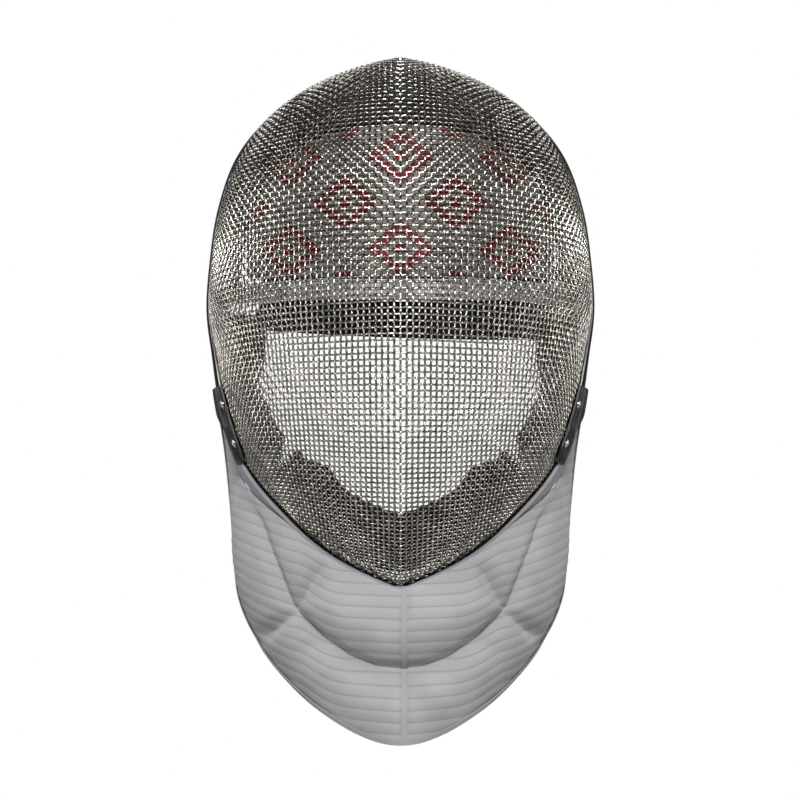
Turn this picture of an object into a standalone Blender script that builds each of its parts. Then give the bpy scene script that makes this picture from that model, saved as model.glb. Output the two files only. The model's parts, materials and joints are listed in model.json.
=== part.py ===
"""Fencing mask: a woven wire cage with its rim, pads, quilted bib and back strap.

Frame: +X to the right of someone who looks at the front, +Y to the back of the
head, +Z up. The origin is where the crown of the head rests under the crown pad.
Sizes below are millimetres and degrees; vertices are written in metres.
"""

import math
from collections import namedtuple

import bmesh
import bpy
from mathutils import Vector

MM = 0.001


def table(columns, *rows):
    """The rows of a table, each with its columns named."""
    row_type = namedtuple("row_type", columns)
    return [row_type(*row) for row in rows]


# --- Cage -----------------------------------------------------------------
# The cage is a bowl about a level axis. Its foremost point is the pole, and a
# direction round the bowl is an angle from straight up (0) to straight down (180).
POLE_Y = -110.0
POLE_Z = -117.0
WALL = 2.0  # two crossing wires of 1 mm
RIM_STEP = 6.0  # pieces round the rim share their stations, this far apart
CAGE_ROWS = 13  # the last row lies inside the rim channel

# Edge of the mesh by direction: distance from the bowl's axis and depth behind the pole.
RIM = table(
    "angle radius depth",
    (0, 128.4, 143.0),
    (15, 127.8, 142.0),
    (30, 125.4, 140.0),
    (45, 119.6, 137.0),
    (60, 110.2, 134.0),
    (75, 103.1, 131.0),
    (90, 101.2, 129.0),
    (105, 101.6, 128.0),
    (120, 107.8, 124.0),
    (135, 118.4, 119.0),
    (150, 126.5, 112.0),
    (165, 137.8, 104.0),
    (180, 146.0, 97.0),
)

# How full the bowl is: the share of the rim's radius reached at each share of its depth.
DEPTH_SHARES = (0.05, 0.15, 0.30, 0.50, 0.75)
FULLNESS = table(
    "angle radius_shares",
    (0, (0.335, 0.600, 0.815, 0.955, 0.999)),
    (45, (0.313, 0.571, 0.774, 0.918, 0.982)),
    (90, (0.291, 0.547, 0.742, 0.895, 0.982)),
    (135, (0.270, 0.475, 0.640, 0.795, 0.912)),
    (180, (0.257, 0.425, 0.578, 0.745, 0.886)),
)

# The centre crease stands proud of the smooth bowl by this much.
CREASE_AT_POLE = 5.0
CREASE_AT_CROWN = 2.8
CREASE_AT_CHIN = 4.4
CREASE_HALF_WIDTH = 45.0

# --- Rim ------------------------------------------------------------------
GAP = 0.3
CHANNEL_WALL = 1.0
CHANNEL_FLANGE = 9.0
TRIM_WALL = 0.9
TRIM_FLANGE = 5.6
BINDING_FLANGE = 8.6
TRIM_END_ANGLE = 114.0  # the trim runs over the crown between these directions
BINDING_END_ANGLE = 114.4  # the cloth binding takes over below them, under the tabs
CHANNEL_OUT = WALL / 2 + GAP + CHANNEL_WALL
TRIM_OUT = CHANNEL_OUT + GAP + TRIM_WALL
CHANNEL_BACK = GAP + CHANNEL_WALL
TRIM_BACK = CHANNEL_BACK + GAP + TRIM_WALL

# --- Side tabs and rivets ---------------------------------------------------
# A tab lies on the mesh in front of the rim, where it is riveted, and steps up over the
# binding. Places are back from the mesh edge and out from the middle of the mesh.
TAB_THICKNESS = 1.3
TAB_ANGLES = (113.2, 134.5)
TAB_FRONT = (-18.0, -15.5)  # its front edge along its length and at its lower end
TAB_FRONT_TAPERS = (0.8, 1.0)  # shares of its length between which the front edge changes
TAB_BACK = (9.0, -8.0)  # its rear edge at the top and where it is narrow
TAB_BACK_TAPERS = (0.30, 0.62)
TAB_CLEARANCE = 0.35  # its flat faces clear the curve of the mesh by a little more than GAP
TAB_SEAT = WALL / 2 + TAB_CLEARANCE
TAB_STEP = (-11.0, -9.4)  # its underside rises over the rim between these places
TAB_STEP_MITRE = 0.7  # its upper side rises this much sooner, which keeps its thickness
TAB_COLUMNS = 8
RIVET_ANGLES = {"upper": 118.5, "lower": 129.5}
RIVET_RADIUS = 2.5
RIVET_HEIGHT = 1.4
RIVET_BACK = -15.2
RIVET_STANDOFF = 0.1  # its flat underside clears the curve of the tab

# --- Bib --------------------------------------------------------------------
BIB_THICKNESS = 2.4
BIB_SWELL = 3.0  # a strand's push out is this times its belly, its share and the rest
BIB_COLUMNS = 38
BIB_ROWS_ABOVE = 7  # rows from the rim to the main fold
BIB_ROWS_BELOW = 6  # rows from there to the edge tape, which covers one more
BIB_FIRST_ANGLE = 112.0
BIB_MIDDLE_FROM = 179.4  # past this direction a strand counts as the middle one
# One row for each strand of the right half: where it leaves the rim, where it ends
# on the free edge or hem, how far it bellies out, and where the main fold crosses it.
BIB = table(
    "angle end_x end_y end_z belly fold_share",
    (112, 98.0, 31.0, -169.0, 0.0, 0.50),
    (120, 94.6, 37.0, -195.0, 0.0, 0.50),
    (127, 91.8, 41.0, -226.0, 1.0, 0.50),
    (135, 90.0, 45.0, -257.0, 4.0, 0.40),
    (142, 86.8, 45.0, -277.5, 8.0, 0.25),
    (150, 73.6, 27.0, -300.0, 14.0, 0.36),
    (157, 59.4, 10.0, -314.5, 15.0, 0.50),
    (165, 41.2, -10.0, -327.5, 12.0, 0.54),
    (172, 20.5, -29.0, -337.2, 8.0, 0.56),
    (180, 0.0, -40.0, -341.0, 5.0, 0.57),
)
# The bib leaves the rim behind the binding at the sides and over it at the chin.
BIB_SEAT_SIDE = (4.3, 1.6)  # back from the mesh edge, out from the mesh
BIB_SEAT_CHIN = (-13.0, 4.9)
BIB_RISE_ANGLES = (134.0, 139.5)
BIB_SLIDE_ANGLES = (136.0, 157.0)
BIB_AXIS_Y = 50.0  # the bib wraps round this upright line
BIB_FOLDS_GROW = 0.15  # share of a strand, from its sewn top, over which the folds grow in

# Folds pressed into the bib's right half: both ends (x, z), how deep at each, and reach.
FOLDS = table(
    "name x1 z1 x2 z2 deep1 deep2 reach",
    ("throat middle", 0, -306, 29, -299, 14.0, 12.0, 24),
    ("throat turn", 29, -299, 44, -290, 12.0, 10.0, 22),
    ("throat side", 44, -290, 59, -276, 10.0, 7.0, 18),
    ("cheek upper", 80, -208, 73, -240, 1.5, 3.5, 12),
    ("cheek lower", 73, -240, 59, -276, 3.5, 7.0, 14),
    ("chin side", 42, -252, 59, -276, 2.0, 7.0, 13),
    ("corner", 59, -276, 71, -289, 7.0, 3.0, 12),
)

TAPE_WALL = 0.6
TAPE_FLANGE = 2.0
SEAM_TAPE_WIDTH = 3.2
SEAM_TAPE_THICKNESS = 0.7
SEAM_TAPE_X = 2.0
SEAM_TAPE_SHORT = 0.012  # it stops this share of its strand above the edge tape

# --- Pads -------------------------------------------------------------------
PAD_OFFSET = 1.75  # from the middle of the mesh wall to the pads
# Inner edge of the side and chin pads, as a distance from the bowl's axis.
WINDOW = table(
    "angle radius",
    (91, 70.0),
    (108, 72.0),
    (122, 83.5),
    (136, 90.0),
    (146, 93.0),
    (155, 90.5),
    (164, 99.0),
    (180, 106.5),
)
PAD_REAR = -9.6  # side and chin pads end here from the mesh edge, just before the channel
SIDE_PAD_ANGLES = (91.8, 141.0)
CHIN_PAD_START = 141.8
SIDE_PAD_THICKNESS = (3.5, 11.0)  # at the front edge and at the rear
CHIN_PAD_THICKNESS = (3.5, 9.0)
PAD_FULL_FROM = 0.7  # share of a pad's run where it has its rear thickness
SIDE_PAD_FACES = (12, 6)
CHIN_PAD_FACES = (16, 5)

CROWN_PAD_FACES = (22, 6)
CROWN_PAD_ANGLE = 91.0
CROWN_PAD_REAR = -11.0  # it ends sooner than the others, clear of the strap's anchors
CROWN_PAD_CLEARANCE = 1.5  # its front edge lies this far outside the forehead pad's outline
CROWN_BAND_ANGLES = (62.0, 82.0)  # and further between these, to pass the ends of the band
CROWN_PAD_THICKNESS_TOP = (8.8, 24.0)  # on the head, and at the roll along its rear
CROWN_PAD_THICKNESS_SIDE = (4.0, 10.0)
CROWN_SIDE_ANGLES = (25.0, 75.0)  # it thins from the top's thickness to the sides' here
CROWN_ROLL_START = 0.8  # share of the pad's run where the roll begins

FOREHEAD_BOTTOM = -106.2
FOREHEAD_TOP = -26.0
FOREHEAD_HALF_WIDTH = 80.0
FOREHEAD_POWER = 2.8
FOREHEAD_END_HEIGHT = 0.16  # share of its height that is left at its two ends
FOREHEAD_THICKNESS = (4.0, 10.0)  # at the outline and in the middle
FOREHEAD_THINS_OVER = 1 / 6  # share of its width and height, inwards from the outline
FOREHEAD_FACES = (18, 8)

BAND_BOTTOM = -116.6
BAND_TOP = -106.5
BAND_HALF_WIDTH = 84.0
BAND_THICKNESS = 9.0
BAND_FACES = (18, 2)

# --- Back strap and tongue ----------------------------------------------------
STRAP_HEIGHT = 40.0
STRAP_THICKNESS = 2.0
STRAP_CENTRE_Z = -108.0
STRAP_TILT = 0.035
STRAP_HALF_WIDTH = 92.1
STRAP_FRONT_Y = 14.0
STRAP_REAR_Y = 135.0
STRAP_NECK_X = -75.0  # towards the left end the strap narrows to a hook loop
STRAP_NECK_RUN = 6.0
STRAP_LOOP_HEIGHT = 7.0
STRAP_LOOP_RUN = 0.25  # the loop runs over this share of the strap's depth
STRAP_FACES = (44, 1)

ANCHOR_SIZE = (18.0, 42.0, 1.5)  # along the wall, up, thick
ANCHOR_FRONT = -7.5
ANCHOR_OUT = -6.0

TONGUE_THICKNESS = 4.0
TONGUE_FACES = (2, 16)
TONGUE = table(
    "y z half_width",
    (24, 5.0, 12),
    (50, 5.2, 20),
    (85, -3.6, 32),
    (110, -28.0, 35),
    (120, -65.0, 32),
    (120, -101.0, 26),
)

# Colour (linear), roughness, metallic.
FINISHES = {
    "woven_steel": ((0.42, 0.40, 0.36), 0.35, 0.9),
    "rim_steel": ((0.55, 0.55, 0.53), 0.30, 1.0),
    "black_trim": ((0.012, 0.013, 0.014), 0.45, 0.0),
    "bib_cloth": ((0.44, 0.44, 0.47), 0.85, 0.0),
    "binding_cloth": ((0.32, 0.33, 0.36), 0.80, 0.0),
    "grey_pad": ((0.22, 0.21, 0.20), 0.90, 0.0),
    "light_band": ((0.42, 0.41, 0.41), 0.85, 0.0),
    "dark_pad": ((0.035, 0.032, 0.030), 0.90, 0.0),
    "black_elastic": ((0.010, 0.010, 0.011), 0.75, 0.0),
    "rivet_steel": ((0.62, 0.62, 0.60), 0.25, 1.0),
}


# --- Curves through tables ------------------------------------------------------
def smooth_value(knots, values, at, first_slope=None):
    """Cubic through the values at rising knots, each slope taken from both neighbours."""
    steps = [b - a for a, b in zip(knots, knots[1:])]
    rises = [(b - a) / h for a, b, h in zip(values, values[1:], steps)]
    inner = [
        (rises[i] * steps[i - 1] + rises[i - 1] * steps[i]) / (steps[i - 1] + steps[i])
        for i in range(1, len(steps))
    ]
    slopes = [rises[0] if first_slope is None else first_slope, *inner, rises[-1]]
    i = 0
    while i < len(steps) - 1 and at > knots[i + 1]:
        i += 1
    h = steps[i]
    t = (at - knots[i]) / h
    return (
        (1 + 2 * t) * (1 - t) ** 2 * values[i]
        + t * (1 - t) ** 2 * h * slopes[i]
        + t * t * (3 - 2 * t) * values[i + 1]
        + t * t * (t - 1) * h * slopes[i + 1]
    )


def from_table(rows, column, at, mirrored=True):
    """A table's column at a direction; the crown end is mirrored, the chin end runs straight."""
    place = rows[0]._fields.index(column)
    knots = [row.angle for row in rows]
    values = [row[place] for row in rows]
    if mirrored:
        knots.insert(0, 2 * knots[0] - knots[1])
        values.insert(0, values[1])
    return smooth_value(knots, values, at)


def eased(at, start, end):
    """0 before start, 1 after end, smooth between."""
    t = min(1.0, max(0.0, (at - start) / (end - start)))
    return t * t * (3 - 2 * t)


def blend(a, b, share):
    return a + (b - a) * share


# --- Cage surface -----------------------------------------------------------------
_meridians = {}


def meridian(angle):
    """Chord lengths, radii and depths along the bowl from the pole to the rim."""
    key = round(abs(angle), 4)
    if key not in _meridians:
        radius = from_table(RIM, "radius", key)
        depth = from_table(RIM, "depth", key)
        radii = [0.0]
        depths = [0.0]
        for i, share in enumerate(DEPTH_SHARES):
            fullness = table(
                "angle share", *[(row.angle, row.radius_shares[i]) for row in FULLNESS]
            )
            radii.append(radius * from_table(fullness, "share", key))
            depths.append(depth * share)
        radii.append(radius)
        depths.append(depth)
        lengths = [0.0]
        for i in range(1, len(radii)):
            step = math.hypot(radii[i] - radii[i - 1], depths[i] - depths[i - 1])
            lengths.append(lengths[-1] + step)
        _meridians[key] = (lengths, radii, depths)
    return _meridians[key]


def bowl_point(angle, share):
    """A point of the smooth bowl, without its crease. Angles left of the middle are negative."""
    lengths, radii, depths = meridian(angle)
    at = share * lengths[-1]
    radius = smooth_value(lengths, radii, at, first_slope=1.0)
    depth = smooth_value(lengths, depths, at, first_slope=0.0)
    turn = math.radians(angle)
    return Vector(
        (radius * math.sin(turn), POLE_Y + depth, POLE_Z + radius * math.cos(turn))
    )


def wrapped(angle):
    """The same direction between -180 and 180."""
    return (angle + 180.0) % 360.0 - 180.0


def bowl_normal(angle, share):
    """The way out of the bowl."""
    if share < 0.02:
        return Vector((0, -1, 0))
    along = bowl_point(angle, share + 0.01) - bowl_point(angle, share - 0.01)
    around = bowl_point(wrapped(angle + 0.5), share) - bowl_point(
        wrapped(angle - 0.5), share
    )
    return around.cross(along).normalized()


def crease_height(x, angle, share):
    edge = blend(CREASE_AT_CROWN, CREASE_AT_CHIN, eased(abs(angle), 0, 180))
    height = blend(CREASE_AT_POLE, edge, share)
    return height * max(0.0, 1 - abs(x) / CREASE_HALF_WIDTH) ** 2


def cage_point(angle, share, out=0.0):
    """A point on the middle of the mesh wall, or out from it."""
    base = bowl_point(angle, share)
    normal = bowl_normal(angle, share)
    return base + normal * (crease_height(base.x, angle, share) + out)


def edge_point(angle, back, out):
    """A point near the mesh edge: back along the wall from the edge, and out from it."""
    angle = wrapped(angle)
    length = meridian(angle)[0][-1]
    share = 1 + min(back, 0.0) / length
    point = cage_point(angle, share, out)
    if back > 0:
        point += wall_direction(angle) * back
    return point


def wall_direction(angle):
    """The way the wall runs where it reaches the rim."""
    return (cage_point(angle, 1.0) - cage_point(angle, 0.97)).normalized()


def farthest(inside, limit):
    """The largest value from 0 up to the limit for which inside(value) still holds."""
    low, high = 0.0, limit
    for _ in range(30):
        middle = (low + high) / 2
        if inside(middle):
            low = middle
        else:
            high = middle
    return low


def share_at_radius(angle, radius):
    """How far along the bowl, from the pole to the rim, this radius is first reached."""

    def inside(share):
        point = bowl_point(angle, share)
        return math.hypot(point.x, point.z - POLE_Z) < radius

    return farthest(inside, 1.0)


def bowl_at(x, z, out):
    """The point in front of (x, z) on the smooth bowl, moved along its normal."""
    angle = math.degrees(math.atan2(x, z - POLE_Z))
    share = share_at_radius(angle, math.hypot(x, z - POLE_Z))
    return bowl_point(angle, share) + bowl_normal(angle, share) * out


# --- Bib surface --------------------------------------------------------------------
def fold_depth(x, z):
    """How far the folds press the bib in at this place of its front view."""
    deepest = 0.0
    for fold in FOLDS:
        from_start_x, from_start_z = x - fold.x1, z - fold.z1
        run_x, run_z = fold.x2 - fold.x1, fold.z2 - fold.z1
        share = (from_start_x * run_x + from_start_z * run_z) / (run_x**2 + run_z**2)
        share = min(1.0, max(0.0, share))
        away = math.hypot(from_start_x - share * run_x, from_start_z - share * run_z)
        press = blend(fold.deep1, fold.deep2, share) * max(0.0, 1 - away / fold.reach) ** 2
        deepest = max(deepest, press)
    return deepest


def strand_value(column, turn):
    """A column of the bib's table at a direction, run on across the middle of the bib."""
    knots = [row.angle for row in BIB]
    values = [getattr(row, column) for row in BIB]
    knots.append(2 * knots[-1] - knots[-2])
    values.append(-values[-2] if column == "end_x" else values[-2])
    return smooth_value(knots, values, turn)


def from_axis(point):
    """The level direction from the upright line that the bib wraps round."""
    return Vector((point.x, point.y - BIB_AXIS_Y, 0)).normalized()


def bib_point(angle, share):
    """A point of the bib's middle surface: 0 at the rim, 1 at the free edge."""
    side = math.copysign(1.0, angle)
    turn = abs(angle)
    rise = eased(turn, *BIB_RISE_ANGLES)
    slide = eased(turn, *BIB_SLIDE_ANGLES)
    back = blend(BIB_SEAT_SIDE[0], BIB_SEAT_CHIN[0], slide)
    out = blend(BIB_SEAT_SIDE[1], BIB_SEAT_CHIN[1], rise)
    top = edge_point(turn, back, out)
    end = Vector([strand_value(end, turn) for end in ("end_x", "end_y", "end_z")])
    belly = strand_value("belly", turn)
    run = end - top
    swell = from_axis(top + run / 2) * belly * BIB_SWELL * share * (1 - share)
    point = top + run * share + swell
    press = fold_depth(point.x, point.z) * eased(share, 0.0, BIB_FOLDS_GROW)
    point -= from_axis(point) * press
    return Vector((side * point.x, point.y, point.z))


def bib_angle(across):
    """The bib's direction for a place across it, from its left end to its right end."""
    angle = 180.0 - (180.0 - BIB_FIRST_ANGLE) * abs(2 * across - 1)
    return math.copysign(angle, across - 0.5)


def bib_share(angle, row):
    """How far down its strand a row of the bib lies: one row follows the main fold."""
    crease = strand_value("fold_share", abs(angle))
    reach = (bib_point(angle, 1.0) - bib_point(angle, 0.0)).length
    tape = 1.0 - TAPE_FLANGE / reach
    if row <= BIB_ROWS_ABOVE:
        return crease * row / BIB_ROWS_ABOVE
    if row <= BIB_ROWS_ABOVE + BIB_ROWS_BELOW:
        return blend(crease, tape, (row - BIB_ROWS_ABOVE) / BIB_ROWS_BELOW)
    return 1.0


def bib_normal(angle, share):
    """The way out of the bib's sheet."""
    turn = min(abs(angle), BIB_MIDDLE_FROM)
    along = bib_point(turn, min(1.0, share + 0.01)) - bib_point(turn, share - 0.02)
    around = bib_point(turn + 0.5, share) - bib_point(turn - 0.5, share)
    normal = along.cross(around).normalized()
    if normal.dot(from_axis(bib_point(turn, share))) < 0:
        normal.negate()
    if abs(angle) > BIB_MIDDLE_FROM:
        normal.x = 0.0
        normal.normalize()
    return Vector((math.copysign(1.0, angle) * normal.x, normal.y, normal.z))


# --- Making solids ---------------------------------------------------------------------
def finish_material(name):
    if name in bpy.data.materials:
        return bpy.data.materials[name]
    colour, roughness, metallic = FINISHES[name]
    material = bpy.data.materials.new(name)
    material.use_nodes = True
    shader = material.node_tree.nodes["Principled BSDF"]
    shader.inputs["Base Color"].default_value = (*colour, 1.0)
    shader.inputs["Roughness"].default_value = roughness
    shader.inputs["Metallic"].default_value = metallic
    material.diffuse_color = (*colour, 1.0)
    return material


def new_object(name, mesh, material):
    """Closes a bmesh into a named object with its finish."""
    bmesh.ops.recalc_face_normals(mesh, faces=mesh.faces)
    if mesh.calc_volume(signed=True) < 0:
        bmesh.ops.reverse_faces(mesh, faces=mesh.faces)
    data = bpy.data.meshes.new(name)
    mesh.to_mesh(data)
    mesh.free()
    data.shade_smooth()
    data.set_sharp_from_angle(angle=math.radians(35))
    data.materials.append(finish_material(material))
    thing = bpy.data.objects.new(name, data)
    bpy.context.scene.collection.objects.link(thing)
    return thing


def slab(name, material, columns, rows, place, ring=False, from_pole=False):
    """A flat slab bent into shape: place(u, v, w) gives the point for each 0..1 place of it.

    A ring joins its last column to its first, and from_pole closes the row at v = 0.
    """
    mesh = bmesh.new()
    bmesh.ops.create_grid(mesh, x_segments=columns, y_segments=rows, size=0.5)
    bmesh.ops.translate(mesh, verts=mesh.verts, vec=(0.5, 0.5, 0.0))
    grown = bmesh.ops.extrude_face_region(mesh, geom=mesh.faces[:])["geom"]
    upper = [item for item in grown if isinstance(item, bmesh.types.BMVert)]
    bmesh.ops.translate(mesh, verts=upper, vec=(0.0, 0.0, 1.0))
    ends = []
    for face in mesh.faces:
        across = {round(vertex.co.x, 5) for vertex in face.verts}
        down = {round(vertex.co.y, 5) for vertex in face.verts}
        if ring and (across == {0.0} or across == {1.0}):
            ends.append(face)
        elif from_pole and down == {0.0}:
            ends.append(face)
    bmesh.ops.delete(mesh, geom=ends, context="FACES")
    for vertex in mesh.verts:
        u, v, w = vertex.co
        vertex.co = place(u, v, w) * MM
    if ring or from_pole:
        bmesh.ops.remove_doubles(mesh, verts=mesh.verts, dist=1e-6)
    return new_object(name, mesh, material)


def u_strip(name, material, angles, outer, inner, ring=False):
    """A U section bent round the rim; outer and inner list its corners as (back, out)."""
    columns = round((angles[1] - angles[0]) / RIM_STEP)

    def place(u, v, w):
        corner = round(v * 3)
        back, out = inner[corner] if w < 0.5 else outer[corner]
        return edge_point(blend(angles[0], angles[1], u), back, out)

    return slab(name, material, columns, 3, place, ring=ring)


def u_corners(front, back, out):
    """The four corners of a U that opens forwards, from its outer flange to its inner one."""
    return ((front, out), (back, out), (back, -out), (front, -out))


def pad(name, faces, angles, start, thickness, rear=PAD_REAR):
    """Dark padding on the inside of the bowl from start(angle) to just before the rim."""

    def place(u, v, w):
        angle = blend(angles[0], angles[1], u)
        length = meridian(wrapped(angle))[0][-1]
        share = blend(start(angle), 1 + rear / length, v)
        point = bowl_point(wrapped(angle), share)
        normal = bowl_normal(wrapped(angle), share)
        return point - normal * (PAD_OFFSET + w * thickness(angle, v))

    return slab(name, "dark_pad", *faces, place)


def window_share(angle):
    """Where the window's edge lies on the bowl, as a share from the pole to the rim."""
    turn = 180.0 - abs(180.0 - abs(angle))
    return share_at_radius(turn, from_table(WINDOW, "radius", turn, False))


def forehead_top(x):
    """The height of the forehead pad's arched outline at this place across it."""
    arch = max(0.0, 1 - abs(x / FOREHEAD_HALF_WIDTH) ** FOREHEAD_POWER) ** 0.5
    return blend(FOREHEAD_BOTTOM, FOREHEAD_TOP, blend(FOREHEAD_END_HEIGHT, 1.0, arch))


def forehead_radius(angle):
    """How far from the bowl's axis the forehead pad reaches in this direction."""
    turn = math.radians(abs(angle))

    def inside(radius):
        x = radius * math.sin(turn)
        return x < FOREHEAD_HALF_WIDTH and POLE_Z + radius * math.cos(turn) < forehead_top(x)

    return farthest(inside, FOREHEAD_HALF_WIDTH + FOREHEAD_TOP - POLE_Z)


def crown_start(angle):
    """Where the crown pad's front edge lies on the bowl, just outside the forehead pad."""
    past_band = (BAND_HALF_WIDTH - FOREHEAD_HALF_WIDTH) * eased(abs(angle), *CROWN_BAND_ANGLES)
    return share_at_radius(angle, forehead_radius(angle) + CROWN_PAD_CLEARANCE + past_band)


# --- Pieces --------------------------------------------------------------------------------
def make_cage():
    def place(u, v, w):
        angle = wrapped(360.0 * u)
        row = round(v * CAGE_ROWS)
        flange = 1 - CHANNEL_FLANGE / meridian(angle)[0][-1]
        share = flange * row / (CAGE_ROWS - 1) if row < CAGE_ROWS else 1.0
        return cage_point(angle, share, (w - 0.5) * WALL)

    columns = round(360.0 / RIM_STEP)
    slab("cage_mesh", "woven_steel", columns, CAGE_ROWS, place, ring=True, from_pole=True)


def make_rim():
    inside = WALL / 2 + GAP
    u_strip(
        "rim_channel", "rim_steel", (0.0, 360.0),
        u_corners(-CHANNEL_FLANGE, CHANNEL_BACK, CHANNEL_OUT),
        u_corners(-CHANNEL_FLANGE, GAP, inside),
        ring=True,
    )  # fmt: skip
    u_strip(
        "edge_trim", "black_trim", (-TRIM_END_ANGLE, TRIM_END_ANGLE),
        u_corners(-TRIM_FLANGE, TRIM_BACK, TRIM_OUT),
        u_corners(-TRIM_FLANGE, CHANNEL_BACK + GAP, CHANNEL_OUT + GAP),
    )  # fmt: skip
    outer = list(u_corners(-BINDING_FLANGE, TRIM_BACK, TRIM_OUT))
    inner = list(u_corners(-BINDING_FLANGE, CHANNEL_BACK + GAP, CHANNEL_OUT + GAP))
    outer[3] = (-TRIM_FLANGE, -TRIM_OUT)
    inner[3] = (-TRIM_FLANGE, -CHANNEL_OUT - GAP)
    u_strip(
        "bib_binding", "binding_cloth",
        (BINDING_END_ANGLE, 360.0 - BINDING_END_ANGLE), outer, inner,
    )  # fmt: skip


def tab_section(u, w):
    """A tab's section from front to rear as (back, out), at a share of its length."""
    front = blend(*TAB_FRONT, eased(u, *TAB_FRONT_TAPERS))
    rear = blend(*TAB_BACK, eased(u, *TAB_BACK_TAPERS))
    low = TAB_SEAT + w * TAB_THICKNESS
    high = TRIM_OUT + GAP + w * TAB_THICKNESS
    foot, head = (place - w * TAB_STEP_MITRE for place in TAB_STEP)
    return ((front, low), (foot, low), (head, high), (blend(head, rear, 0.5), high), (rear, high))


def make_tabs():
    for side, name in ((-1, "left"), (1, "right")):

        def place(u, v, w):
            section = tab_section(u, w)
            back, out = section[round(v * (len(section) - 1))]
            return edge_point(side * blend(*TAB_ANGLES, u), back, out)

        slab(f"side_tab_{name}", "black_trim", TAB_COLUMNS, len(tab_section(0, 0)) - 1, place)
        for level, angle in RIVET_ANGLES.items():
            make_rivet(f"tab_rivet_{name}_{level}", side * angle)


def make_rivet(name, angle):
    """A domed rivet head that lies on its tab, in front of the rim."""
    mesh = bmesh.new()
    bmesh.ops.create_uvsphere(mesh, u_segments=10, v_segments=6, radius=RIVET_RADIUS)
    everything = mesh.verts[:] + mesh.edges[:] + mesh.faces[:]
    bmesh.ops.bisect_plane(
        mesh, geom=everything, plane_co=(0, 0, 0), plane_no=(0, 0, -1), clear_outer=True
    )
    rim = [edge for edge in mesh.edges if edge.is_boundary]
    bmesh.ops.contextual_create(mesh, geom=rim)
    bmesh.ops.scale(mesh, verts=mesh.verts, vec=(1, 1, RIVET_HEIGHT / RIVET_RADIUS))
    normal = bowl_normal(angle, 1 + RIVET_BACK / meridian(angle)[0][-1])
    turned = normal.to_track_quat("Z", "Y").to_matrix()
    bmesh.ops.rotate(mesh, verts=mesh.verts, cent=(0, 0, 0), matrix=turned)
    seat = edge_point(angle, RIVET_BACK, TAB_SEAT + TAB_THICKNESS + GAP + RIVET_STANDOFF)
    bmesh.ops.translate(mesh, verts=mesh.verts, vec=seat)
    bmesh.ops.scale(mesh, verts=mesh.verts, vec=(MM, MM, MM))
    new_object(name, mesh, "rivet_steel")


def make_bib():
    rows = BIB_ROWS_ABOVE + BIB_ROWS_BELOW + 1

    def sheet(u, v, w):
        angle = bib_angle(u)
        share = bib_share(angle, round(v * rows))
        return bib_point(angle, share) + bib_normal(angle, share) * (w - 0.5) * BIB_THICKNESS

    slab("bib", "bib_cloth", BIB_COLUMNS, rows, sheet)

    def tape(u, v, w):
        angle = bib_angle(u)
        reach = (bib_point(angle, 1.0) - bib_point(angle, 0.0)).length
        corner = round(v * 3)
        half = BIB_THICKNESS / 2 + GAP
        end = GAP
        if w > 0.5:
            half += TAPE_WALL
            end += TAPE_WALL
        beyond = end if corner in (1, 2) else -TAPE_FLANGE
        out = half if corner < 2 else -half
        share = 1.0 + min(beyond, 0.0) / reach
        onward = (bib_point(angle, 1.0) - bib_point(angle, 0.97)).normalized()
        point = bib_point(angle, share) + onward * max(beyond, 0.0)
        return point + bib_normal(angle, share) * out

    slab("bib_edge_tape", "binding_cloth", BIB_COLUMNS, 3, tape)

    seam_rows = rows - 1

    def seam(u, v, w):
        share = bib_share(180.0, round(v * seam_rows))
        if v == 1.0:
            share -= SEAM_TAPE_SHORT
        lift = BIB_THICKNESS / 2 + GAP + w * SEAM_TAPE_THICKNESS
        across = SEAM_TAPE_X + (u - 0.5) * SEAM_TAPE_WIDTH
        point = bib_point(180.0, share) + bib_normal(180.0, share) * lift
        return point + Vector((across, 0.0, 0.0))

    slab("bib_centre_tape", "bib_cloth", 1, seam_rows, seam)


def make_pads():
    def side_thickness(angle, v):
        return blend(*SIDE_PAD_THICKNESS, eased(v, 0.0, PAD_FULL_FROM))

    for side, name in ((-1, "left"), (1, "right")):
        angles = (side * SIDE_PAD_ANGLES[0], side * SIDE_PAD_ANGLES[1])
        pad(f"side_pad_{name}", SIDE_PAD_FACES, angles, window_share, side_thickness)

    def chin_thickness(angle, v):
        return blend(*CHIN_PAD_THICKNESS, eased(v, 0.0, PAD_FULL_FROM))

    angles = (CHIN_PAD_START, 360.0 - CHIN_PAD_START)
    pad("chin_pad", CHIN_PAD_FACES, angles, window_share, chin_thickness)

    def crown_thickness(angle, v):
        side = eased(abs(angle), *CROWN_SIDE_ANGLES)
        front = blend(CROWN_PAD_THICKNESS_TOP[0], CROWN_PAD_THICKNESS_SIDE[0], side)
        rear = blend(CROWN_PAD_THICKNESS_TOP[1], CROWN_PAD_THICKNESS_SIDE[1], side)
        return blend(front, rear, eased(v, CROWN_ROLL_START, 1.0))

    angles = (-CROWN_PAD_ANGLE, CROWN_PAD_ANGLE)
    pad("crown_pad", CROWN_PAD_FACES, angles, crown_start, crown_thickness, CROWN_PAD_REAR)

    def forehead(u, v, w):
        x = (2 * u - 1) * FOREHEAD_HALF_WIDTH
        z = blend(FOREHEAD_BOTTOM, forehead_top(x), v)
        from_outline = min(u, 1 - u, 1 - v)
        thickness = blend(*FOREHEAD_THICKNESS, eased(from_outline, 0.0, FOREHEAD_THINS_OVER))
        return bowl_at(x, z, -PAD_OFFSET - w * thickness)

    slab("forehead_pad", "grey_pad", *FOREHEAD_FACES, forehead)

    def band(u, v, w):
        x = (2 * u - 1) * BAND_HALF_WIDTH
        z = blend(BAND_BOTTOM, BAND_TOP, v)
        return bowl_at(x, z, -PAD_OFFSET - w * BAND_THICKNESS)

    slab("forehead_binding", "light_band", *BAND_FACES, band)


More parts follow.
